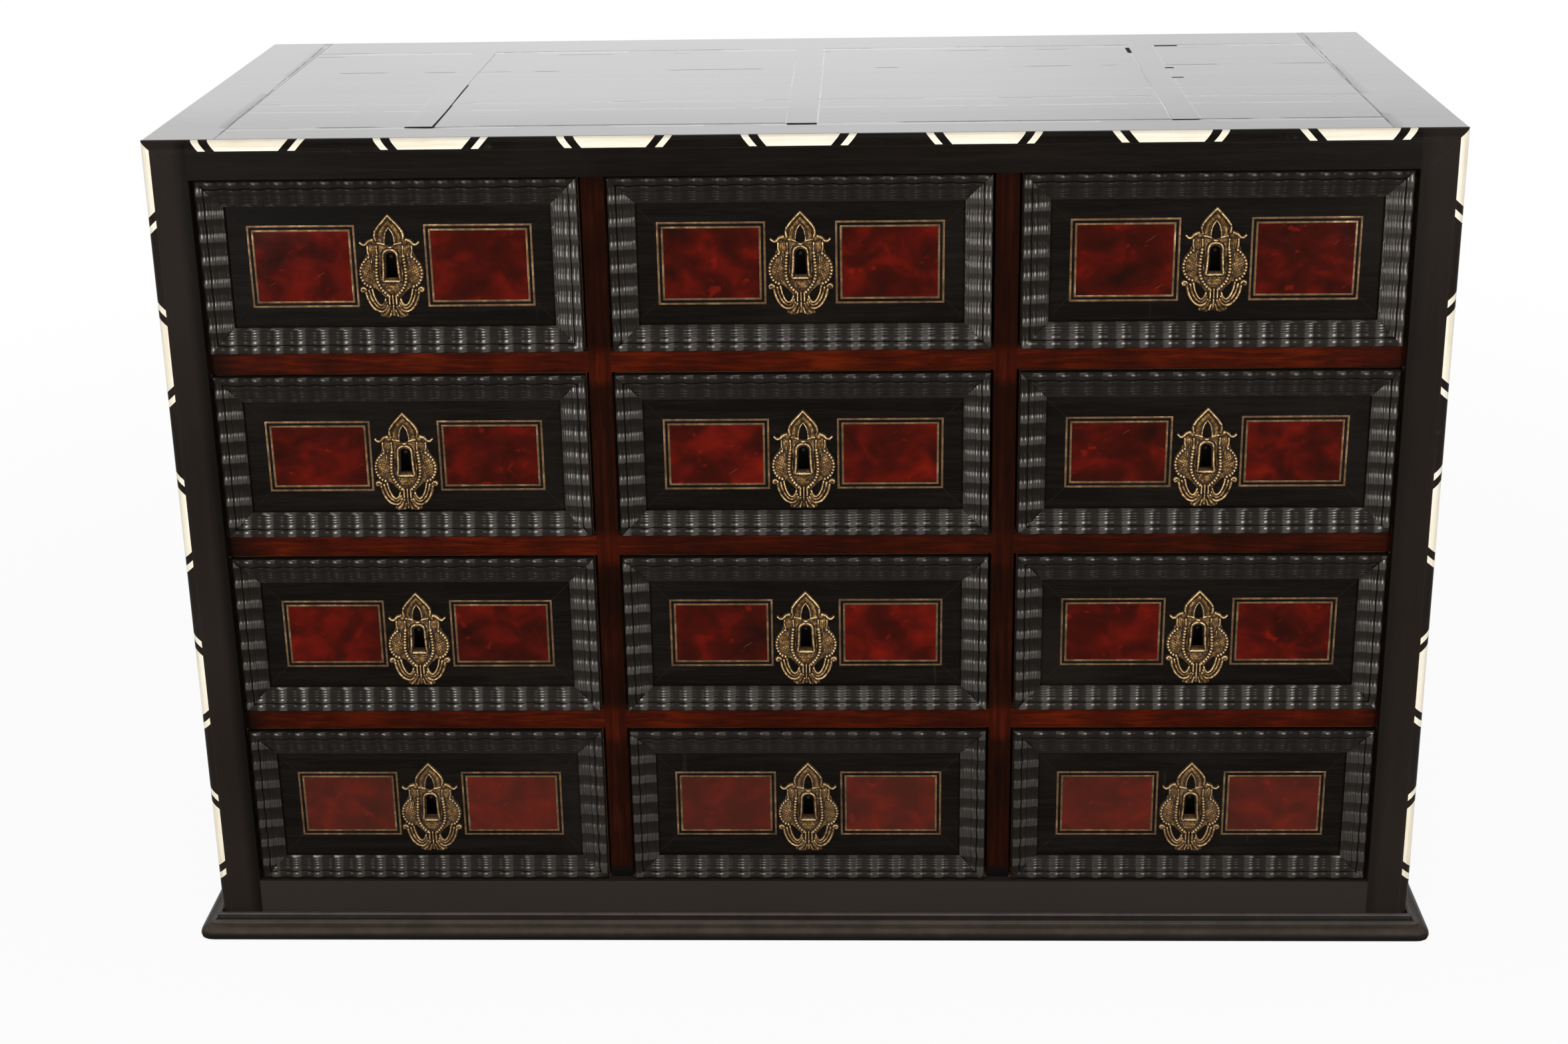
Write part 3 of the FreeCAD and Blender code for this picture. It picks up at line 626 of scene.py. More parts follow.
facingMarks = {
    "shelves": (0.4658, 0.3239, 0.1820),    # the middle of each shelf's facing
    "divider": (0.1465, 0.0082),            # the middle and half width of an upright's facing
    "foot": (0.0545, 0.0555),               # the uprights' feet end here
    # colours and the levels where they lie, on the shelves and on the uprights; the uprights' are darker as painted
    # shade between the drawers' mouldings
    "flat": [(0.32, (0.012, 0.0035, 0.0018)), (0.5, (0.050, 0.0058, 0.0018)), (0.68, (0.115, 0.0125, 0.0022))],
    "tall": [(0.32, (0.0055, 0.0020, 0.0011)), (0.52, (0.0145, 0.0030, 0.0013)), (0.7, (0.033, 0.0070, 0.0028))]}


def redVeneerFinish(marks=facingMarks):
    f = Finish("red_veneer")
    place = f.objectPlace()
    x, _, z = f.split(place)
    _, middleShelf, lowShelf = marks["shelves"]
    divider, half = marks["divider"]
    onDivider = between(abs(x), divider - half, divider + half)
    # the shelves' facings have slanting grain, the uprights' grain runs up
    slanting = f.node("ShaderNodeMapping", None, {"Vector": place, "Rotation": (0.0, 0.75, 0.0),
                                                  "Scale": (30.0, 30.0, 330.0)}).outputs[0]
    cross = f.noise(slanting, 1.0, 4.0, 0.6, 0.6)
    rising = f.stretched(place, (320.0, 60.0, 16.0), 4.0, 0.6, 0.4)
    grain = cross * (1 - onDivider) + rising * onDivider
    cloud = f.noise(place, 24.0, 3.0, 0.5)
    level = grain * 0.6 + cloud * 0.4
    # where a shelf's facing crosses an upright, most of what is seen is the shelf's
    crossing = highest([between(z + (grain - 0.5) * 0.012, shelf - 0.0165, shelf + 0.0085, 0.005)
                        for shelf in marks["shelves"]])
    upright = onDivider * (1 - crossing * 0.8)
    # the middle shelf is darker right of the left divider, the low one left of the right divider,
    # and the ends of all three carry painted shade beside the frame
    shade = highest([between(z, middleShelf - 0.02, middleShelf + 0.02, 0.01) * x.over(-0.16, -0.10) * 0.5,
                     between(z, lowShelf - 0.02, lowShelf + 0.02, 0.01) * x.over(0.1, 0.2, 0.25, 0.0),
                     x.over(-0.431, -0.398, 0.9, 0.0), x.over(0.412, 0.431, 0.0, 0.5)])
    flat = f.mix(shade, f.ramp(level, marks["flat"]), (0.006, 0.0030, 0.0018))
    # the uprights take the darker colours, painted shade between the drawers' proud mouldings
    colour = f.mix(upright, flat, f.ramp(level, marks["tall"]))
    foot = onDivider * z.over(*marks["foot"], 1.0, 0.0)
    colour = f.mix(foot, colour, (0.006, 0.004, 0.004))
    # painted shade along the uprights' sides, beside the drawers' proud mouldings
    edge = abs(abs(x) - divider).over(0.0070, 0.0083) * upright
    colour = f.mix(edge * 0.75, colour, (0.008, 0.003, 0.002))
    normal = f.bump(grain, 0.00012)
    return f.show(f.shader(Base_Color=colour, Roughness=cloud.over(0.3, 0.7, 0.26, 0.4),
                           Specular_IOR_Level=0.015, Normal=normal))


def plainWood(name, grain, tones, knots=0.3, mask=None, boards=None):
    # unpolished wood: wavy growth lines along the grain, pores, and a slow change of tone
    f = Finish(name)
    place = f.objectPlace()
    colour, height = woodGrain(f, place, grain, tones, knots)
    if boards:
        for second, chooser in boards(*f.split(place)):
            other, otherHeight = woodGrain(f, place, second, tones, knots)
            colour = f.mix(chooser, colour, other)
            height = height * (1 - chooser) + otherHeight * chooser
    if mask:
        colour = mask(f, colour, place)
    normal = f.bump(height, 0.0004)
    roughness = f.noise(place, 40.0, 3.0, 0.5).over(0.3, 0.7, 0.6, 0.8)
    return f.show(f.shader(Base_Color=colour, Roughness=roughness, Specular_IOR_Level=0.25, Normal=normal))


def woodGrain(f, place, grain, tones, knots):
    waves = f.stretched(place, grain, 3.0, 0.5, 0.6)
    rings = (waves * 46.0).sine() * 0.5 + 0.5
    pores = f.stretched(place, tuple(g * 9.0 for g in grain), 2.0, 0.6)
    slow = f.noise(place, 3.5, 2.0, 0.5)
    level = rings * 0.35 + pores * 0.35 + slow * 0.3
    colour = f.ramp(level, [(0.25, tones[0]), (0.5, tones[1]), (0.75, tones[2])])
    grimeAndShade = f.noise(place, 14.0, 4.0, 0.6).over(0.55, 0.75)
    return f.mix(grimeAndShade * knots, colour, tones[0]), rings * 0.4 + pores * 0.6


drawerTones = ((0.16, 0.085, 0.04), (0.30, 0.175, 0.088), (0.42, 0.27, 0.15))
caseTones = ((0.11, 0.062, 0.032), (0.22, 0.13, 0.068), (0.33, 0.21, 0.12))
drawerSide = (0.1275, 0.1282)    # the inner face of a drawer's side, from the drawer's middle in metres
drawerBack = 8.0                 # thickness of a drawer's back board


def drawerWood(column):
    # the front and back boards' grain runs across, the sides' and the bottom's from front to back
    low, high = span("top_" + column + "_drawer_box")
    middle = (low[0] + high[0]) / 2 * mm
    start, end = span("top_" + column + "_drawer_lock")[1][1] * mm, (high[1] - drawerBack) * mm

    def boards(x, y, z):
        sides = abs(x - middle).over(*drawerSide) * y.over(start - 0.0003, start + 0.0004)
        bottom = abs(x - middle).over(*drawerSide, 1.0, 0.0) * between(y, start + 0.0004, end)
        return [((60.0, 3.2, 60.0), sides), ((55.0, 2.6, 55.0), bottom)]

    return plainWood("drawer_wood_" + column, (3.2, 60.0, 60.0), drawerTones, boards=boards)


backJoints = ((0.155, 0.0011), (0.318, 0.0012), (0.472, 0.0011))    # height and half width in metres


def backWood():
    # the back's boards run across, with dark open joints between them
    def planks(f, colour, place):
        z = f.split(place)[2]
        joint = highest([lineMask(z, height, half) for height, half in backJoints])
        stain = f.noise(place, 6.0, 5.0, 0.65).over(0.5, 0.75)
        colour = f.mix(stain * 0.5, colour, (0.055, 0.032, 0.018))
        return f.mix(joint * 0.9, colour, (0.008, 0.005, 0.003))

    return plainWood("back_boards", (3.0, 42.0, 42.0), caseTones, knots=0.55, mask=planks)


def lockIron():
    # forged iron, blackened and rusty
    f = Finish("lock_iron")
    place = f.objectPlace()
    scale = f.noise(place, 120.0, 5.0, 0.7)
    colour = f.ramp(scale, [(0.35, (0.006, 0.0055, 0.005)), (0.55, (0.018, 0.015, 0.013)),
                            (0.75, (0.05, 0.026, 0.014))])
    normal = f.bump(scale + f.noise(place, 700.0, 2.0, 0.6) * 0.4, 0.0003)
    return f.show(f.shader(Base_Color=colour, Metallic=0.25, Roughness=scale.over(0.3, 0.7, 0.5, 0.75),
                           Specular_IOR_Level=0.1, Normal=normal))


def ironFinish():
    # the bolts' filed iron, with spots of rust
    f = Finish("filed_iron")
    place = f.objectPlace()
    files = f.stretched(place, (90.0, 900.0, 1400.0), 2.0, 0.6)
    rust = f.noise(place, 130.0, 5.0, 0.7).over(0.52, 0.72)
    colour = f.mix(files, (0.13, 0.12, 0.115), (0.30, 0.285, 0.27))
    colour = f.mix(rust * 0.7, colour, (0.10, 0.045, 0.02))
    rough = files.over(0.3, 0.7, 0.32, 0.5) + rust * 0.3
    normal = f.bump(files + rust, 0.0001)
    return f.show(f.shader(Base_Color=colour, Metallic=1.0 - rust * 0.8, Roughness=rough, Normal=normal))


finishes = {
    "field": fieldEbony(), "ripple": rippleEbony(), "frame": frameEbony(), "plinth": plinthEbony(),
    "top": topEbony("top_ebony"), "strap": topEbony("strap_ebony", lines=False), "side": sideEbony(),
    "bone": boneFinish(), "shell": shellFinish(), "line": brassLineFinish(), "brass": castBrassFinish(),
    "facing": redVeneerFinish(), "iron": ironFinish(), "lock": lockIron(), "back": backWood(),
    "case": plainWood("case_wood", (55.0, 3.0, 55.0), caseTones),
    "across": plainWood("bottom_wood", (3.0, 50.0, 50.0), caseTones, knots=0.45)}
for column in columnNames:
    finishes[column] = drawerWood(column)
print("finishes made:", len(finishes))


rippleValues = {
    "width": 19.4, "pitch": 16.7, "depth": 0.66, "sway": 0.25, "perWave": 14,
    # each round: where it starts and ends from the outer edge, the heights there, its rise and its points
    "rounds": ((0.15, 6.2, 4.9, 4.8, 1.45, 11), (6.6, 10.6, 4.9, 4.3, 0.6, 9), (10.8, 12.2, 4.15, 3.95, 0.2, 5),
               (12.4, 14.3, 3.9, 3.55, 0.3, 6), (14.5, 16.4, 3.5, 3.15, 0.3, 6), (16.6, 17.7, 3.1, 2.9, 0.13, 4)),
    "fillet": ((17.9, 2.75), (19.2, 2.6), (19.4, 2.35)),
    # the outer wall's height, the groove inside the outer bead as a step in and down, and the wave's inner limit
    "wall": 4.7, "groove": (0.2, 0.3), "waveEnd": 18.6,
    # each member's dullness, partly dust and partly painted shade that is strongest on the top members, how dull the
    # hollows of its wave are, partly wax and partly painted shade, and how much duller below the top row
    "dustAndShade": {"top": 0.8, "bottom": 0.05, "left": 0.3, "right": 0.3},
    "wax": {"top": 0.95, "bottom": 0.86, "left": 0.93, "right": 0.6}, "topRow": 560.0,
    "extraWaxAndShade": {"top": 0.0, "bottom": 0.0, "left": 0.04, "right": 0.28},
    # how far the polish of the crests spreads into the hollows, a painted sheen on the right members
    "spread": {"top": 0.0, "bottom": 0.0, "left": 0.0, "right": 0.2}}


def rippleProfile(values):
    # insets, heights, and dirt with painted shade in the grooves, from the back of the outer wall to the back of the
    # inner one;
    # a round's height is the line between its feet plus its rise times a half circle
    insets, heights, dirt = [0.0, 0.0], [0.0, values["wall"]], [1.0, 0.4]
    for start, end, footStart, footEnd, rise, count in values["rounds"]:
        angle = np.linspace(np.pi, 0, count)
        share = (1 + np.cos(angle)) / 2
        insets += list(start + (end - start) * share)
        heights += list(footStart + (footEnd - footStart) * share + rise * np.sin(angle))
        dirt += [0.8] + [0.0] * (count - 2) + [0.8]
        if start < 1:    # the outer bead
            insets.append(end + values["groove"][0])
            heights.append(footEnd - values["groove"][1])
            dirt.append(0.8)
    for inset, height in values["fillet"]:
        insets.append(inset)
        heights.append(height)
        dirt.append(0.5)
    return np.array(insets + [values["width"]]), np.array(heights + [0.0]), np.array(dirt + [1.0])


def rippleMember(place, side, phase, values=rippleValues):
    # height(along, inset) = profile(inset) + depth * weight(inset) * (cosine(along) - 1); the inset sways by
    # sway * sine(along), and both ends are mitred
    inset, height, dirt = rippleProfile(values)
    width, tall = place["xHigh"] - place["xLow"], place["zHigh"] - place["zLow"]
    length = width if side in ("top", "bottom") else tall
    count = int(round(length / values["pitch"] * values["perWave"])) + 1
    share = np.linspace(-0.5, 0.5, count)[:, None]
    weight = np.clip(height / 2.0, 0, 1) * np.clip((values["waveEnd"] - inset) / 2.0, 0, 1)
    along = share * (length - 2 * inset)
    turn = 2 * np.pi * along / values["pitch"] + phase
    rise = height + values["depth"] * weight * (np.cos(turn) - 1.0)
    swayed = inset + values["sway"] * weight * (inset > 0.2) * np.sin(turn + 0.6)
    crest = (1 + np.cos(turn)) / 2 + np.zeros_like(rise) + values["spread"][side]
    middleX, middleZ = (place["xLow"] + place["xHigh"]) / 2, (place["zLow"] + place["zHigh"]) / 2
    if side == "top":
        x, z = middleX + along, place["zHigh"] - swayed
    elif side == "bottom":
        x, z = middleX + along, place["zLow"] + swayed
    elif side == "left":
        x, z = place["xLow"] + swayed, middleZ + along
    else:
        x, z = place["xHigh"] - swayed, middleZ + along
    shell = tubeShell(np.stack([x, faceY - np.maximum(rise, 0), z], -1))
    # the member's dullness, partly dust and partly painted shade, is less towards the outer edge
    dustAndShade = values["dustAndShade"][side] * np.clip(0.55 + (inset - 1.5) / 3.0, 0.55, 1)
    # below the top row the upright members' hollows are duller, partly wax and partly painted shade
    lower = side in ("left", "right") and place["zHigh"] < values["topRow"]
    wax = np.full(rise.size, values["wax"][side] + values["extraWaxAndShade"][side] * lower)
    return shell, crest.ravel(), np.maximum(dirt + np.zeros_like(rise), dustAndShade).ravel(), wax


def frameRing(xLow, xHigh, zLow, zHigh, insets, rises, plane):
    # a section carried round a rectangle with mitred corners; a rise stands out towards the front
    corners = ((xLow, zLow, 1, 1), (xHigh, zLow, -1, 1), (xHigh, zHigh, -1, -1), (xLow, zHigh, 1, -1))
    insets, rises = np.array(insets, float), np.array(rises, float)
    rings = [np.stack([x + sx * insets, plane - rises, z + sz * insets], -1) for x, z, sx, sz in corners]
    return ringShell(np.array(rings))


plaqueValues = {"width": 77.4, "offset": 63.5, "line": 1.4, "round": 0.25, "gap": 1.9, "topHeight": 60.4,
                "height": 54.3, "proud": 0.16, "shellProud": 0.02, "crown": 0.22, "depth": 1.1}


def plaqueShells(place, values=plaqueValues):
    # two brass lines and a slightly crowned plate of shell on each side of the keyhole
    lines, shells = [], []
    height = values["topHeight"] if place["row"] == "top" else values["height"]
    line, proud, depth = values["line"], values["proud"], values["depth"]
    section = ((0, 0, values["round"], line - values["round"], line, line),
               (-depth, proud * 0.5, proud, proud, proud * 0.5, -depth))
    for side in (-1, 1):
        xLow = place["x"] + side * values["offset"] - values["width"] / 2
        xHigh = xLow + values["width"]
        zLow, zHigh = place["z"] - height / 2, place["z"] + height / 2
        for step in (0, line + values["gap"]):
            lines.append(frameRing(xLow + step, xHigh - step, zLow + step, zHigh - step, *section, faceY))
        inner = 2 * line + values["gap"]
        u, v = np.meshgrid(np.linspace(-1, 1, 17), np.linspace(-1, 1, 13), indexing="ij")
        crown = values["crown"] * (1 - u ** 4) * (1 - v ** 4)
        x = (xLow + xHigh) / 2 + u * ((xHigh - xLow) / 2 - inner)
        z = (zLow + zHigh) / 2 + v * ((zHigh - zLow) / 2 - inner)
        front = np.stack([x, faceY - values["shellProud"] - crown, z], -1)
        shells.append(sheetShell(front, np.stack([x, np.full_like(x, faceY + depth), z], -1)))
    return lines, shells


# the drill pin's height over the plate's middle is the rise; the field's rays start below the pin
keyholeValues = {"radius": 3.6, "footHalf": 4.4, "drop": 15.2, "rise": 6.5, "woodMargin": 0.8, "rayStart": -5.0}


def keyholeOutline(margin, values=keyholeValues):
    # x and height from the drill pin: a half circle whose sides widen down to a flat foot
    radius, foot = values["radius"] + margin, values["footHalf"] + margin
    angle = np.linspace(0, np.pi, 17)
    drop = -values["drop"] - margin
    return np.concatenate([np.stack([radius * np.cos(angle), radius * np.sin(angle)], -1),
                           np.stack([np.linspace(-radius, -foot, 8)[1:], np.linspace(0, drop, 8)[1:]], -1),
                           np.stack([np.linspace(-foot, foot, 9)[1:], np.full(8, drop)], -1),
                           np.stack([np.linspace(foot, radius, 8)[1:-1], np.linspace(drop, 0, 8)[1:-1]], -1)])


def fieldShell(place):
    # rays from inside the keyhole meet the keyhole and the field's edge; the plate runs between the two
    hole = keyholeOutline(keyholeValues["woodMargin"])
    eyeZ = place["plateZ"] + keyholeValues["rise"]
    start = np.array([0.0, keyholeValues["rayStart"]])
    fromStart = hole - start
    low = np.array([place["xLow"] - place["x"], place["zLow"] - eyeZ]) - start
    high = np.array([place["xHigh"] - place["x"], place["zHigh"] - eyeZ]) - start
    cornerAngles = [math.atan2(z, x) for x in (low[0], high[0]) for z in (low[1], high[1])]
    holeAngles = np.arctan2(fromStart[:, 1], fromStart[:, 0])
    angles = np.unique(np.round(np.concatenate([holeAngles, cornerAngles]), 5))
    order = np.argsort(holeAngles)
    reach = np.interp(angles, holeAngles[order], np.hypot(*fromStart.T)[order], period=2 * np.pi)
    c, s = np.cos(angles), np.sin(angles)
    limitX = np.where(c > 0, high[0], low[0]) / np.where(abs(c) < 1e-9, 1e-9, c)
    limitZ = np.where(s > 0, high[1], low[1]) / np.where(abs(s) < 1e-9, 1e-9, s)
    edge = np.minimum(abs(limitX), abs(limitZ))
    rings = []
    for distance, y in ((reach, faceY), (edge, faceY), (edge, boardY), (reach, boardY)):
        rings.append(np.stack([place["x"] + start[0] + distance * c, np.full_like(c, y),
                               eyeZ + start[1] + distance * s], -1))
    return ringShell(np.array(rings))


plateValues = {
    "height": 76.6, "pitch": 0.39, "halfCount": 66, "plate": 1.2, "edge": 0.6,
    # dark patina lies where the surface is lower than the mean round it and on the ground, with painted shade on steep
    # places and faces turned down, and less on faces turned up;
    # rubbing brightens what is higher than the mean round it, and a painted highlight brightens faces turned up
    "wear": {"near": 2.2, "wide": 0.5, "ground": 0.05, "steep": 0.12, "fall": 0.22, "ridge": 1.25, "turned": 0.35},
    # half the plate, in millimetres from the middle and down from the tip; the rest is its mirror image
    "panels": {
        "arch": ((-3, 0.4), (0, 0.2), (5.0, 5.2), (8.8, 9.2), (11.0, 12.8), (11.6, 16.2), (11.0, 19.4), (11.8, 22),
                 (-3, 23)),
        "body": ((-3, 21), (11, 18.4), (14.4, 18.8), (17.0, 22), (17.0, 28.0), (18.2, 31.2), (21.0, 34.8), (23.0, 39.6),
                 (23.2, 44.8), (21.8, 49.2), (19.2, 52.8), (15.6, 54.2), (12.6, 54.6), (9.6, 57.2), (5.6, 61.5),
                 (-3, 62.5)),
        "foot": ((-3, 60), (3.6, 60), (4.6, 65), (6.2, 70), (9.6, 72.4), (10.4, 74.8), (7.6, 76.4), (4.2, 76.4),
                 (2.2, 75.4), (-3, 75.4))},
    "holes": {
        "arch": ((-2.8, 22.6), (-2.6, 18.6), (-1.7, 14.2), (0, 11.1), (1.7, 14.2), (2.6, 18.6), (2.8, 22.6), (0, 23.2)),
        "scroll": ((12.6, 55.2), (11.9, 58.8), (10.9, 62.2), (9.6, 64.9), (8.1, 65.3), (7.3, 63.0), (8.1, 60.0),
                   (10.2, 56.8))},
    # rails: points, radius at the start and end, height
    "rails": {
        "archEdge": (((0, 1.3), (4.8, 6.5), (7.8, 10.0), (9.8, 13.5), (10.2, 16.6), (9.6, 19.2)), 1.45, 1.3, 3.2),
        "archBand": (((0, 6.2), (3.6, 9.9), (6.1, 14.0), (6.9, 18.0), (6.7, 20.6)), 2.1, 2.0, 2.4),
        "archLip": (((0, 9.9), (2.4, 13.6), (3.5, 18.0), (3.7, 21.6)), 0.8, 0.8, 2.3),
        "ledge": (((3.0, 22.2), (5.8, 21.4), (8.4, 20.9)), 1.05, 1.05, 3.2),
        "beak": (((12.2, 19.0), (15.0, 19.9), (17.0, 21.9), (19.2, 22.2), (20.9, 20.6)), 1.75, 1.15, 3.3),
        "neckIn": (((9.5, 23.4), (9.2, 29.8)), 1.15, 1.0, 3.1),
        "neckMiddle": (((12.6, 24.0), (12.4, 30.2)), 1.2, 1.0, 2.8),
        "neckOut": (((15.8, 23.4), (15.8, 27.4), (14.9, 30.4)), 1.15, 1.05, 3.1),
        "keyRail": (((-1.2, 26.0), (1.2, 26.0), (3.8, 27.3), (5.1, 30.2), (5.3, 36.0), (5.6, 43.0), (6.0, 48.4),
                     (3.0, 49.0), (-1, 49.0)), 1.35, 1.35, 3.5),
        "keyOuter": (((6.2, 26.4), (7.6, 30.0), (7.8, 38.0), (7.9, 45.0), (7.4, 49.6)), 0.7, 0.7, 2.5),
        "leafInner": (((13.6, 33.4), (13.2, 38.4), (13.4, 44.4), (14.2, 49.2)), 0.7, 0.6, 3.1),
        "chin": (((-1, 51.5), (2.6, 51.4), (5.6, 50.8)), 0.75, 0.6, 2.6),
        "chinMiddle": (((-1, 53.9), (2.4, 53.7), (5.0, 53.0)), 0.75, 0.6, 2.6),
        "chinLow": (((-1, 56.3), (1.6, 56.1), (3.4, 55.5)), 0.75, 0.5, 2.5),
        "scrollOuter": (((19.0, 57.2), (17.9, 62.0), (15.6, 66.8), (12.3, 70.2), (8.6, 71.3), (5.8, 69.8), (4.2, 67.0)),
                        1.5, 1.4, 3.4),
        "scrollMiddle": (((16.9, 55.9), (15.7, 60.8), (13.5, 65.3), (11.0, 68.0), (8.5, 68.8), (6.4, 67.4),
                          (5.0, 64.8)), 1.4, 1.3, 3.1),
        "scrollInner": (((14.6, 55.0), (13.6, 59.8), (11.9, 63.9), (9.9, 66.4), (7.9, 66.7), (6.2, 64.6), (5.4, 62.2)),
                        1.2, 1.15, 2.9),
        "tie": (((2.4, 59.8), (2.5, 65.6)), 1.1, 1.1, 3.7), "tieMiddle": (((0, 59.6), (0, 65.4)), 1.05, 1.05, 3.7),
        "stem": (((0, 66.8), (0, 70.0), (0, 73.6)), 1.1, 1.6, 3.0),
        "leafSide": (((2.6, 67.6), (4.4, 71.4), (6.9, 74.4)), 1.3, 1.9, 3.1),
        "leafNarrow": (((1.6, 70.8), (2.8, 74.6)), 0.9, 1.3, 2.8)},
    # rows of beads: points, bead radius, spacing, height
    "beads": {
        "inner": (((9.5, 30.6), (10.1, 36.0), (10.5, 41.0), (10.6, 46.4), (9.2, 51.8), (6.7, 56.0), (3.6, 59.2)),
                  1.75, 2.4, 3.9),
        "outer": (((15.6, 31.2), (18.2, 33.6), (20.5, 36.8), (21.8, 40.6), (21.9, 44.6), (20.7, 48.4), (18.4, 51.6),
                   (15.6, 52.9)), 1.6, 2.4, 3.7)},
    # domes: middle, half width, half height, height
    "domes": {
        "head": ((11.2, 20.6), 2.5, 2.5, 3.4), "neck": ((12.6, 26.6), 4.6, 5.6, 2.4),
        "archKnob": ((9.7, 12.6), 1.6, 1.6, 3.5), "brow": ((0, 24.4), 2.6, 1.3, 3.0),
        "beakTip": ((21.2, 20.6), 1.3, 1.2, 3.1), "wing": ((16.4, 42.2), 6.2, 11.4, 3.5),
        "chinBoss": ((0, 54.0), 6.6, 5.6, 2.3), "topKnob": ((0, 1.5), 1.5, 1.5, 3.3),
        "shoulder": ((7.2, 32.0), 2.2, 8.0, 2.0)},
    "curl": {"middle": (21.0, 55.4), "from": 2.0, "to": 0.5, "turns": 1.0, "radius": 1.35, "height": 3.4}}


def smoothPath(points, count):
    # a curve through the points: each span is the cubic blend of its two ends and their neighbours
    points = np.array(points, float)
    padded = np.concatenate([2 * points[:1] - points[1:2], points, 2 * points[-1:] - points[-2:-1]])
    where = np.linspace(0, len(points) - 1, count)
    k = np.minimum(where.astype(int), len(points) - 2)
    t = (where - k)[:, None]
    a, b, c, d = (padded[k + i] for i in range(4))
    return 0.5 * (2 * b + (c - a) * t + (2 * a - 5 * b + 4 * c - d) * t ** 2 + (3 * b - a - 3 * c + d) * t ** 3)


def spaced(path, spacing):
    # points at equal steps along a path
    steps = np.concatenate([[0], np.cumsum(np.hypot(*np.diff(path, axis=0).T))])
    count = max(2, int(round(steps[-1] / spacing)) + 1)
    where = np.linspace(0, steps[-1], count)
    return np.stack([np.interp(where, steps, path[:, k]) for k in range(2)], -1)


def reachFrom(grid, path):
    # distance of every grid point to the nearest path point, and which one that is
    gap = np.linalg.norm(grid[:, None, :] - path[None, :, :], axis=2)
    nearest = gap.argmin(1)
    return gap[np.arange(len(grid)), nearest], nearest


def outlineDistance(grid, outline):
    # distance to a closed outline, negative inside it
    a = np.array(outline, float)
    b = np.roll(a, -1, axis=0)
    step = b - a
    best = np.full(len(grid), np.inf)
    inside = np.zeros(len(grid), bool)
    for start, move, end in zip(a, step, b):
        share = np.clip(((grid - start) @ move) / (move @ move), 0, 1)[:, None]
        best = np.minimum(best, np.linalg.norm(grid - start - share * move, axis=1))
        crosses = (start[1] > grid[:, 1]) != (end[1] > grid[:, 1])
        reach = start[0] + (grid[:, 1] - start[1]) / (move[1] if move[1] else 1e-9) * move[0]
        inside ^= crosses & (grid[:, 0] < reach)
    return np.where(inside, -best, best)


def blurred(level, times):
    # each value becomes the mean of itself, counted twice, and its four neighbours
    for _ in range(times):
        p = np.pad(level, 1, mode="edge")
        level = (p[1:-1, 1:-1] * 2 + p[:-2, 1:-1] + p[2:, 1:-1] + p[1:-1, :-2] + p[1:-1, 2:]) / 6
    return level


def halfRound(distance, radius, rise):
    # rise * sqrt(1 - (distance / radius)^2), and 0 further out
    return rise * np.sqrt(np.clip(1 - (distance / radius) ** 2, 0, 1))


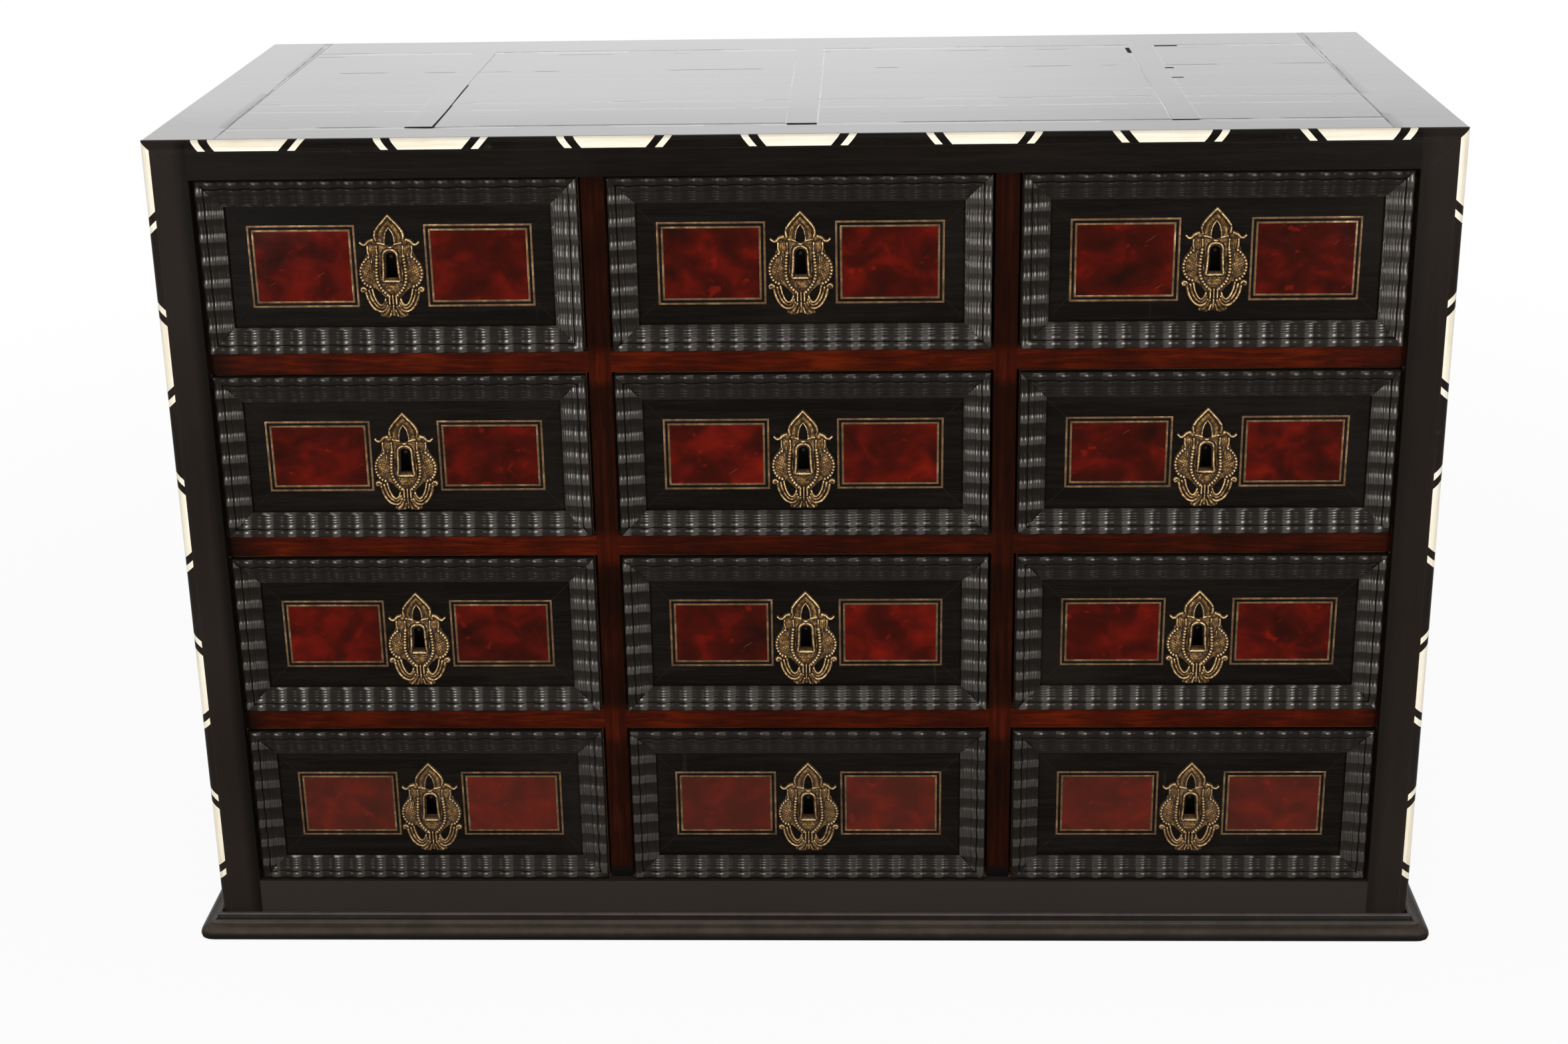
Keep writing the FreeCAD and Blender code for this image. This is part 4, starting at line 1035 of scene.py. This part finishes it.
def plateSurface(values=plateValues):
    # height = the highest of the plate, the rails' and beads' half rounds and the domes;
    # the grid is cut where the nearest edge of all of them is passed
    pitch = values["pitch"]
    x = np.arange(-values["halfCount"], values["halfCount"] + 1) * pitch
    down = np.arange(-4, int(values["height"] / pitch) + 5) * pitch
    gx, gd = np.meshgrid(x, down, indexing="ij")
    grid = np.stack([abs(gx).ravel(), gd.ravel()], -1)
    height = np.full(len(grid), values["plate"])
    edge = np.full(len(grid), 1e3)
    for outline in values["panels"].values():
        edge = np.minimum(edge, outlineDistance(grid, outline))
    curl = values["curl"]
    turn = np.linspace(0, curl["turns"] * 2 * np.pi, 60)
    radius = np.linspace(curl["from"], curl["to"], 60)
    spiral = np.stack([curl["middle"][0] - radius * np.cos(turn), curl["middle"][1] - radius * np.sin(turn)], -1)
    tubes = [(smoothPath(points, 60), start, end, rise) for points, start, end, rise in values["rails"].values()]
    tubes.append((spiral, curl["radius"], curl["radius"], curl["height"]))
    for path, start, end, rise in tubes:
        distance, nearest = reachFrom(grid, path)
        width = start + (end - start) * nearest / (len(path) - 1)
        height = np.maximum(height, halfRound(distance, width, rise))
        edge = np.minimum(edge, distance - width * 0.96)
    for points, radius, spacing, rise in values["beads"].values():
        path = smoothPath(points, 200)
        distance, _ = reachFrom(grid, spaced(path, spacing))
        along, _ = reachFrom(grid, path)
        cord = halfRound(along, radius * 0.9, rise * 0.5)
        height = np.maximum(height, np.maximum(cord, halfRound(distance, radius, rise)))
        edge = np.minimum(edge, along - radius * 0.92)
    for key, ((mx, md), halfX, halfD, rise) in values["domes"].items():
        lift = halfRound(np.hypot((grid[:, 0] - mx) / halfX, (grid[:, 1] - md) / halfD), 1, rise)
        if key == "wing":    # feathers: rows of small scales
            scales = np.cos(grid[:, 0] * 2.6 + grid[:, 1] * 0.9) * np.cos(grid[:, 1] * 2.2 - grid[:, 0] * 0.9)
            lift = lift * (0.9 + 0.12 * scales)
        height = np.maximum(height, lift)
    for outline in values["holes"].values():
        edge = np.maximum(edge, -outlineDistance(grid, outline))
    eyeDepth = values["height"] / 2 - keyholeValues["rise"]
    hole = keyholeOutline(0.0)
    edge = np.maximum(edge, -outlineDistance(grid, np.stack([hole[:, 0], eyeDepth - hole[:, 1]], -1)))
    shape = gx.shape
    height, edge = height.reshape(shape), edge.reshape(shape)
    # points just outside are drawn in to the edge, down the edge distance's slope
    slopeX, slopeD = np.gradient(edge, pitch)
    squared = np.maximum(slopeX ** 2 + slopeD ** 2, 0.3)
    move = np.where(edge > 0, np.clip(edge, 0, 1.5 * pitch), 0) / squared
    px, pd = gx - move * slopeX, gd - move * slopeD
    rounding = np.clip(-edge / values["edge"], 0, 1)
    ground = height < values["plate"] + 0.3
    height = height * (0.45 + 0.55 * np.sqrt(1 - (1 - rounding) ** 2))
    wear = values["wear"]
    slopeAcross, slopeDown = np.gradient(blurred(height, 1), pitch)
    steep = np.clip(np.hypot(slopeAcross, slopeDown) - 0.5, 0, 1)
    fall = np.clip(slopeDown, -1.5, 1.5)
    # hollow is patina in low places plus painted shade on steep faces and faces turned down; ridge is rubbing plus a
    # painted highlight on faces turned up
    hollow = np.clip((blurred(height, 2) - height) * wear["near"] + (blurred(height, 12) - height) * wear["wide"]
                     + wear["ground"] * ground + wear["steep"] * steep - wear["fall"] * fall, 0, 1)
    ridge = np.clip((height - blurred(height, 9)) * wear["ridge"] + wear["turned"] * fall * (1 - ground), 0, 1)
    quads = gridQuads(*shape)
    kept = (edge.ravel()[quads] < 0).any(1) & (edge.ravel()[quads] < 1.5 * pitch).all(1)
    quads = quads[kept]
    used = np.unique(quads)
    number = np.full(px.size, -1)
    number[used] = np.arange(len(used))
    return {"x": px.ravel()[used], "down": pd.ravel()[used], "height": height.ravel()[used],
            "hollow": hollow.ravel()[used], "ridge": ridge.ravel()[used], "quads": number[quads]}


def plateShell(place, surface):
    x, height, quads = surface["x"], surface["height"], surface["quads"]
    count = len(x)
    z = place["plateZ"] + plateValues["height"] / 2 - surface["down"]
    front = np.stack([place["x"] + x, faceY - height, z], -1)
    back = np.stack([place["x"] + x, np.full(count, faceY), z], -1)
    edges = np.concatenate([quads[:, [k, (k + 1) % 4]] for k in range(4)])
    key = np.sort(edges, 1)
    _, first, uses = np.unique(key[:, 0] * count + key[:, 1], return_index=True, return_counts=True)
    rim = edges[first[uses == 1]]
    wall = np.stack([rim[:, 1], rim[:, 0], rim[:, 0] + count, rim[:, 1] + count], 1)
    shell = outward(np.concatenate([front, back]), np.concatenate([quads, quads[:, ::-1] + count, wall]))
    return shell, {"ridge": np.concatenate([surface["ridge"], np.zeros(count)]),
                   "hollow": np.concatenate([surface["hollow"], np.ones(count)])}


lockValues = {"half": 26.0, "foot": 24.0, "cover": 3.0, "wall": 1.5, "plate": 2.0, "slot": 12.25, "pin": 2.0,
              "pinTip": 2.0, "stud": 1.5, "studOffset": 12.0, "boltReach": 12.0, "clearance": 0.25, "boltThick": 4.0,
              # nails: from the sides, the foot and the top, then the head's steps from the back and their radii
              "nailInset": (5.0, 5.0, 8.0), "nail": ((-0.1, 1.9), (0.15, 1.8), (0.4, 1.1), (0.45, 0.3))}


def boxShell(low, high, bevel=0.3):
    # a block whose faces are drawn in by the bevel: rings from the back to the front along Y
    steps = ((low[1], bevel), (low[1] + bevel, 0), (high[1] - bevel, 0), (high[1], bevel))
    rings = []
    for y, inset in steps:
        xs = (low[0] + inset, high[0] - inset)
        zs = (low[2] + inset, high[2] - inset)
        rings.append([(xs[0], y, zs[0]), (xs[1], y, zs[0]), (xs[1], y, zs[1]), (xs[0], y, zs[1])])
    return tubeShell(np.array(rings, float))


def lockShells(place, values=lockValues):
    # back plate, two sides and a foot, a top plate in three parts round the bolt's slot, pin, studs and nails
    eyeZ = place["plateZ"] + keyholeValues["rise"]
    x, half, wall = place["x"], values["half"], values["wall"]
    front, back = boardY + values["cover"], place["boardBack"]
    low, high = eyeZ - values["foot"], place["zHigh"]
    inner, under, slot = back - wall, high - values["plate"], values["slot"]
    slotFront = inner - values["boltThick"] - 2 * values["clearance"]
    shells = [boxShell((x - half, inner, low), (x + half, back, high)),
              boxShell((x - half, front, low), (x - half + wall, inner, high)),
              boxShell((x + half - wall, front, low), (x + half, inner, high)),
              boxShell((x - half + wall, front, low), (x + half - wall, inner, low + wall)),
              boxShell((x - half + wall, front, under), (x - slot, inner, high)),
              boxShell((x + slot, front, under), (x + half - wall, inner, high)),
              boxShell((x - slot, front, under), (x + slot, slotFront, high))]
    tip, pin, stud = faceY + values["pinTip"], values["pin"], values["stud"]
    shells.append(turnedShell(x, eyeZ, ((tip, pin * 0.45), (tip + 0.7, pin * 0.85), (tip + 1.4, pin),
                                        (inner - 1.0, pin), (inner - 0.6, pin * 1.35), (inner, pin * 1.35))))
    studZ = eyeZ + values["boltReach"] - values["clearance"] - stud
    fromSide, fromFoot, fromTop = values["nailInset"]
    nail = [(back + step, radius) for step, radius in values["nail"]]
    for side in (-1, 1):
        shells.append(turnedShell(x + side * values["studOffset"], studZ,
                                  ((inner - 4.25, stud * 0.7), (inner - 3.9, stud), (inner, stud)), 14))
        for nailZ in (low + fromFoot, high - fromTop):
            shells.append(turnedShell(x + side * (half - fromSide), nailZ, nail, 14))
    return shells


def dress(node, key):
    # gives a CAD node one of the finishes
    materials = nodes[node].data.materials
    materials.clear()
    materials.append(finishes[key])


plate = plateSurface()
print("keyhole plate:", len(plate["quads"]), "faces on its front")

for row in rowNames:
    for column in columnNames:
        drawer = row + "_" + column + "_drawer"
        low, high = span(drawer + "_front")
        lockLow, lockHigh = span(drawer + "_lock")
        place = {"row": row, "xLow": low[0], "xHigh": high[0], "zLow": low[2], "zHigh": high[2],
                 "x": (low[0] + high[0]) / 2, "z": (low[2] + high[2]) / 2, "boardBack": lockHigh[1],
                 "plateZ": lockLow[2] + plateValues["height"] / 2}
        centre = (place["x"], 0, place["z"])
        onFront = {"body": drawer, "centre": centre, "replaced": [drawer + "_front"]}
        onLock = {"body": drawer, "centre": centre, "replaced": [drawer + "_lock"]}
        addPiece(drawer + "_field", [fieldShell(place)], material=finishes["field"], slot="ebony", **onFront)
        members = [rippleMember(place, side, rng.uniform(0, 2 * np.pi)) for side in ("top", "bottom", "left", "right")]
        shells, crests, dirtAndShades, waxAndShades = zip(*members)
        addPiece(drawer + "_ripple_moulding", shells, material=finishes["ripple"], slot="ebony", sharp=55,
                 values={"crest": np.concatenate(crests), "dirt": np.concatenate(dirtAndShades), "wax": np.concatenate(waxAndShades)},
                 **onFront)
        lines, shells = plaqueShells(place)
        addPiece(drawer + "_brass_lines", lines, material=finishes["line"], slot="brass", **onFront)
        addPiece(drawer + "_shell_plaques", shells, material=finishes["shell"], slot="tortoiseshell", **onFront)
        shell, wear = plateShell(place, plate)
        addPiece(drawer + "_keyhole_plate", [shell], material=finishes["brass"], slot="brass", sharp=60, values=wear,
                 **onLock)
        addPiece(drawer + "_lock_case", lockShells(place), material=finishes["lock"], slot="iron", **onLock)
        dress(drawer + "_box", column)
        dress(drawer + "_bolt", "iron")
print("drawers made")


plinthValues = {
    # how far the section stands out from the case, and its height, from the top down
    "section": ((0.0, 18.5), (2.2, 18.5), (2.9, 18.1), (3.0, 17.4), (2.9, 16.9), (2.6, 16.7), (2.9, 15.6), (3.6, 14.5),
                (4.8, 13.7), (5.6, 13.5), (7.6, 13.4), (7.8, 13.2), (7.8, 11.9), (8.6, 11.6)),
    "nose": (9.7, 5.8, 5.8), "nosePoints": 18, "cornerPoints": 9, "cornerPower": 4.5}


def plinthShell(values=plinthValues):
    # the section carried from the left side's back corner round the front to the right side's back corner
    middle, half, radius = values["nose"]
    angle = np.linspace(np.pi / 2, -np.pi / 2, values["nosePoints"])[1:]
    out = np.array([p[0] for p in values["section"]] + list(middle + radius * np.cos(angle)) + [0.0])
    up = np.array([p[1] for p in values["section"]] + list(half + radius * np.sin(angle)) + [0.0])
    left, right, back = caseLow[0], caseHigh[0], span("carcase_left_side")[1][1]
    # round a corner the reach is (cosine^power + sine^power)^(-1 / power): nearly square, with a worn edge
    power = values["cornerPower"]
    turn = np.linspace(0, np.pi / 2, values["cornerPoints"])
    reach = (np.cos(turn) ** power + np.sin(turn) ** power) ** (-1 / power)
    corner = [(r * math.cos(t), r * math.sin(t)) for t, r in zip(turn, reach)]
    rings = [np.stack([left - out, np.full_like(out, back), up], -1)]
    rings += [np.stack([left - out * across, frontY - out * ahead, up], -1) for across, ahead in corner]
    rings += [np.stack([right + out * across, frontY - out * ahead, up], -1) for across, ahead in corner[::-1]]
    rings.append(np.stack([right + out, np.full_like(out, back), up], -1))
    return tubeShell(np.array(rings))


addPiece("case_plinth", [plinthShell()], "carcase", finishes["plinth"], "ebony", ["plinth_moulding"], sharp=28)

topValues = {
    # joints: depth, half width, and half the width of the cells beside them; borders lie at two depths from the front
    "level": 630.15, "sunk": 0.08, "groove": 0.35, "grooveHalf": 0.2, "cell": 0.5, "bandX": 413.0,
    "borders": (46.5, 368.0), "pointsX": 90, "pointsY": 40,
    # straps: x from and to, then how far the front end, the back end and the right edge lift
    "straps": {"left": (-283.0, -264.0, (0.3, 0.1, 0.2)), "middle": (-10.0, 11.5, (0.05, 0.0, 0.0)),
               "right": (264.0, 283.0, (0.2, 0.2, 0.1))}, "strapThick": 0.22, "strapSeat": 0.05, "strapHighest": 0.34}


def topShell(values=topValues):
    # level minus a slow hollow in every panel, with narrow grooves along the joints
    low, high = span("top_veneer")
    bands = (-values["bandX"], values["bandX"])
    borders = [frontY + depth for depth in values["borders"]]
    cell, half = values["cell"], values["grooveHalf"]
    xs = sorted({*np.linspace(low[0], high[0], values["pointsX"]), *(b + d for b in bands for d in (-cell, 0, cell))})
    ys = sorted({*np.linspace(low[1], high[1], values["pointsY"]), *(b + d for b in borders for d in (-cell, 0, cell))})
    x, y = np.meshgrid(np.array(xs), np.array(ys), indexing="ij")
    hollow = 0.10 * np.sin(x / 61.0 + 0.7) * np.sin(y / 47.0) + 0.06 * np.sin(x / 23.0) * np.cos(y / 31.0)
    groove = np.zeros_like(x)
    for b in borders:
        groove = np.maximum(groove, (abs(y - b) < half) * (abs(x) < values["bandX"]))
    for b in bands:
        groove = np.maximum(groove, abs(x - b) < half)
    z = values["level"] - values["sunk"] + hollow * 0.5 - groove * values["groove"]
    return sheetShell(np.stack([x, y, z], -1), np.stack([x, y, np.full_like(x, low[2])], -1))


def strapShell(xLow, xHigh, bend, values=topValues):
    # a thin strip whose height is its seat plus a bend that lifts its ends and one edge
    u, v = np.meshgrid(np.linspace(0, 1, 9), np.linspace(0, 1, 60), indexing="ij")
    near, far = values["borders"]
    x = xLow + (xHigh - xLow) * u + 0.5 * np.sin(v * 9.0 + xLow)
    y = frontY + near + (far - near) * v
    frontEnd, backEnd = np.clip(1 - v / 0.25, 0, 1) ** 2, np.clip(v - 0.9, 0, 1) * 10 * u
    edge = u * np.clip(1 - abs(v - 0.25) * 3, 0, 1)
    lift = bend[0] * frontEnd + bend[1] * backEnd + bend[2] * edge
    z = values["level"] + np.minimum(lift, values["strapHighest"] - values["strapThick"])
    upper, under = z + values["strapThick"], z - values["strapSeat"]
    return sheetShell(np.stack([x, y, upper], -1), np.stack([x, y, under], -1))


addPiece("case_top", [topShell()], "carcase", finishes["top"], "ebony", ["top_veneer"])
addPiece("case_top_straps", [strapShell(*strap) for strap in topValues["straps"].values()],
         "carcase", finishes["strap"], "ebony", ["top_veneer"])

caseFinishes = {
    "face_frame": "frame", "bone_inlay": "bone", "divider_facings": "facing", "carcase_left_side": "side",
    "carcase_right_side": "side", "carcase_top_board": "across", "carcase_bottom_board": "across",
    "carcase_back_board": "back", "column_dividers": "case", "drawer_shelves": "case"}
for node, key in caseFinishes.items():
    dress(node, key)
print("case made")


def seenDirectly(finish):
    # 1 for rays from the camera and for mirrored or refracted ones
    path = finish.node("ShaderNodeLightPath")
    camera, glossy, through = (Level(finish, path.outputs[k]) for k in
                               ("Is Camera Ray", "Is Glossy Ray", "Is Transmission Ray"))
    return camera.top(glossy).top(through)


def floorFinish():
    f = Finish("pale_floor")
    # seen directly, the floor is nearly as white as the background, and wholly so further away
    place = f.objectPlace()
    colour = f.mix(f.noise(place, 3.0, 3.0, 0.5), (0.92, 0.92, 0.92), (0.94, 0.94, 0.94))
    matt = f.shader(Base_Color=colour, Roughness=0.9, Specular_IOR_Level=0.1)
    white = f.node("ShaderNodeEmission", None, {"Color": (1, 1, 1, 1), "Strength": 1.0})
    x, y, _ = f.split(place)
    far = (x * x + y * y) ** 0.5
    return f.show(f.blendShaders(seenDirectly(f) * far.over(0.6, 2.2, 0.935, 0.995), matt, white))


floorMesh = bpy.data.meshes.new("floor")
half = 14.0
corners = [(-half, -half, 0), (half, -half, 0), (half, half, 0), (-half, half, 0)]
floorMesh.from_pydata(corners, [], [(0, 1, 2, 3)])
floorMesh.materials.append(floorFinish())
floor = bpy.data.objects.new("floor", floorMesh)
bpy.context.scene.collection.objects.link(floor)
floor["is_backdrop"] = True

world = bpy.data.worlds.new("studio")
bpy.context.scene.world = world
world.use_nodes = True
# the studio lights things dimly, and is white to the camera and in mirrors
sky = Finish("studio", world.node_tree)
around = sky.node("ShaderNodeBackground", None, {"Color": (1.0, 1.0, 1.0, 1.0), "Strength": 0.22})
behind = sky.node("ShaderNodeBackground", None, {"Color": (1.0, 1.0, 1.0, 1.0), "Strength": 1.0})
mixed = sky.blendShaders(seenDirectly(sky), around, behind)
sky.node("ShaderNodeOutputWorld", None, {"Surface": mixed.outputs[0]})

lampValues = {
    # place, aim, side lengths in metres, power in watts
    "left": ((-1.12, -2.2, 0.62), (0.0, -0.2, 0.4), (0.46, 1.05), 20.0),
    "right": ((1.12, -2.2, 0.62), (0.0, -0.2, 0.4), (0.46, 1.05), 20.0),
    "over": ((0.0, -0.4, 3.2), (0.0, 0.0, 0.3), (2.0, 1.4), 28.0)}
for name, (place, aim, sizes, power) in lampValues.items():
    light = bpy.data.lights.new(name, "AREA")
    light.shape = "RECTANGLE"
    light.size, light.size_y = sizes
    light.energy = power
    lamp = bpy.data.objects.new(name, light)
    # a lamp shines along its own -Z, which is turned towards the aim
    direction = np.array(aim) - np.array(place)
    direction /= np.linalg.norm(direction)
    right = np.cross(direction, (0, 0, 1.0))
    right /= np.linalg.norm(right)
    up = np.cross(right, direction)
    matrix = np.eye(4)
    matrix[:3, 0], matrix[:3, 1], matrix[:3, 2], matrix[:3, 3] = right, up, -direction, place
    lamp.matrix_world = Matrix(matrix.tolist())
    lamp.visible_camera = False
    bpy.context.scene.collection.objects.link(lamp)

# place in metres, angles in degrees, focus and image width in pixels, sensor in millimetres
cameraValues = {"place": (0.0487, -1.88385, 0.9662), "pitch": -20.304, "yaw": 2.164, "roll": 1.005, "focus": 3657.1,
                "imageWidth": 2355.0, "sensor": 36.0}


def turn(axis, degrees):
    return np.array(Matrix.Rotation(math.radians(degrees), 3, axis))


def makeCamera(values=cameraValues):
    # the camera looks along +Y, then it is rolled, tipped and swung
    rotation = turn("Z", values["yaw"]) @ turn("X", values["pitch"]) @ turn("Y", values["roll"])
    matrix = np.eye(4)
    matrix[:3, 0], matrix[:3, 1], matrix[:3, 2] = rotation[:, 0], rotation[:, 2], -rotation[:, 1]
    matrix[:3, 3] = values["place"]
    lens = bpy.data.cameras.new("photo_view")
    lens.sensor_fit = "HORIZONTAL"
    lens.sensor_width = values["sensor"]
    lens.lens = values["focus"] / values["imageWidth"] * values["sensor"]
    camera = bpy.data.objects.new("photo_view", lens)
    camera.matrix_world = Matrix(matrix.tolist())
    bpy.context.scene.collection.objects.link(camera)
    bpy.context.scene.camera = camera


makeCamera()
bpy.context.scene.view_settings.view_transform = "Standard"
print("scene lit")

triangles = sum(len(p.vertices) - 2 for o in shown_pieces() if o.type == "MESH" for p in o.data.polygons)
print("triangles:", triangles)
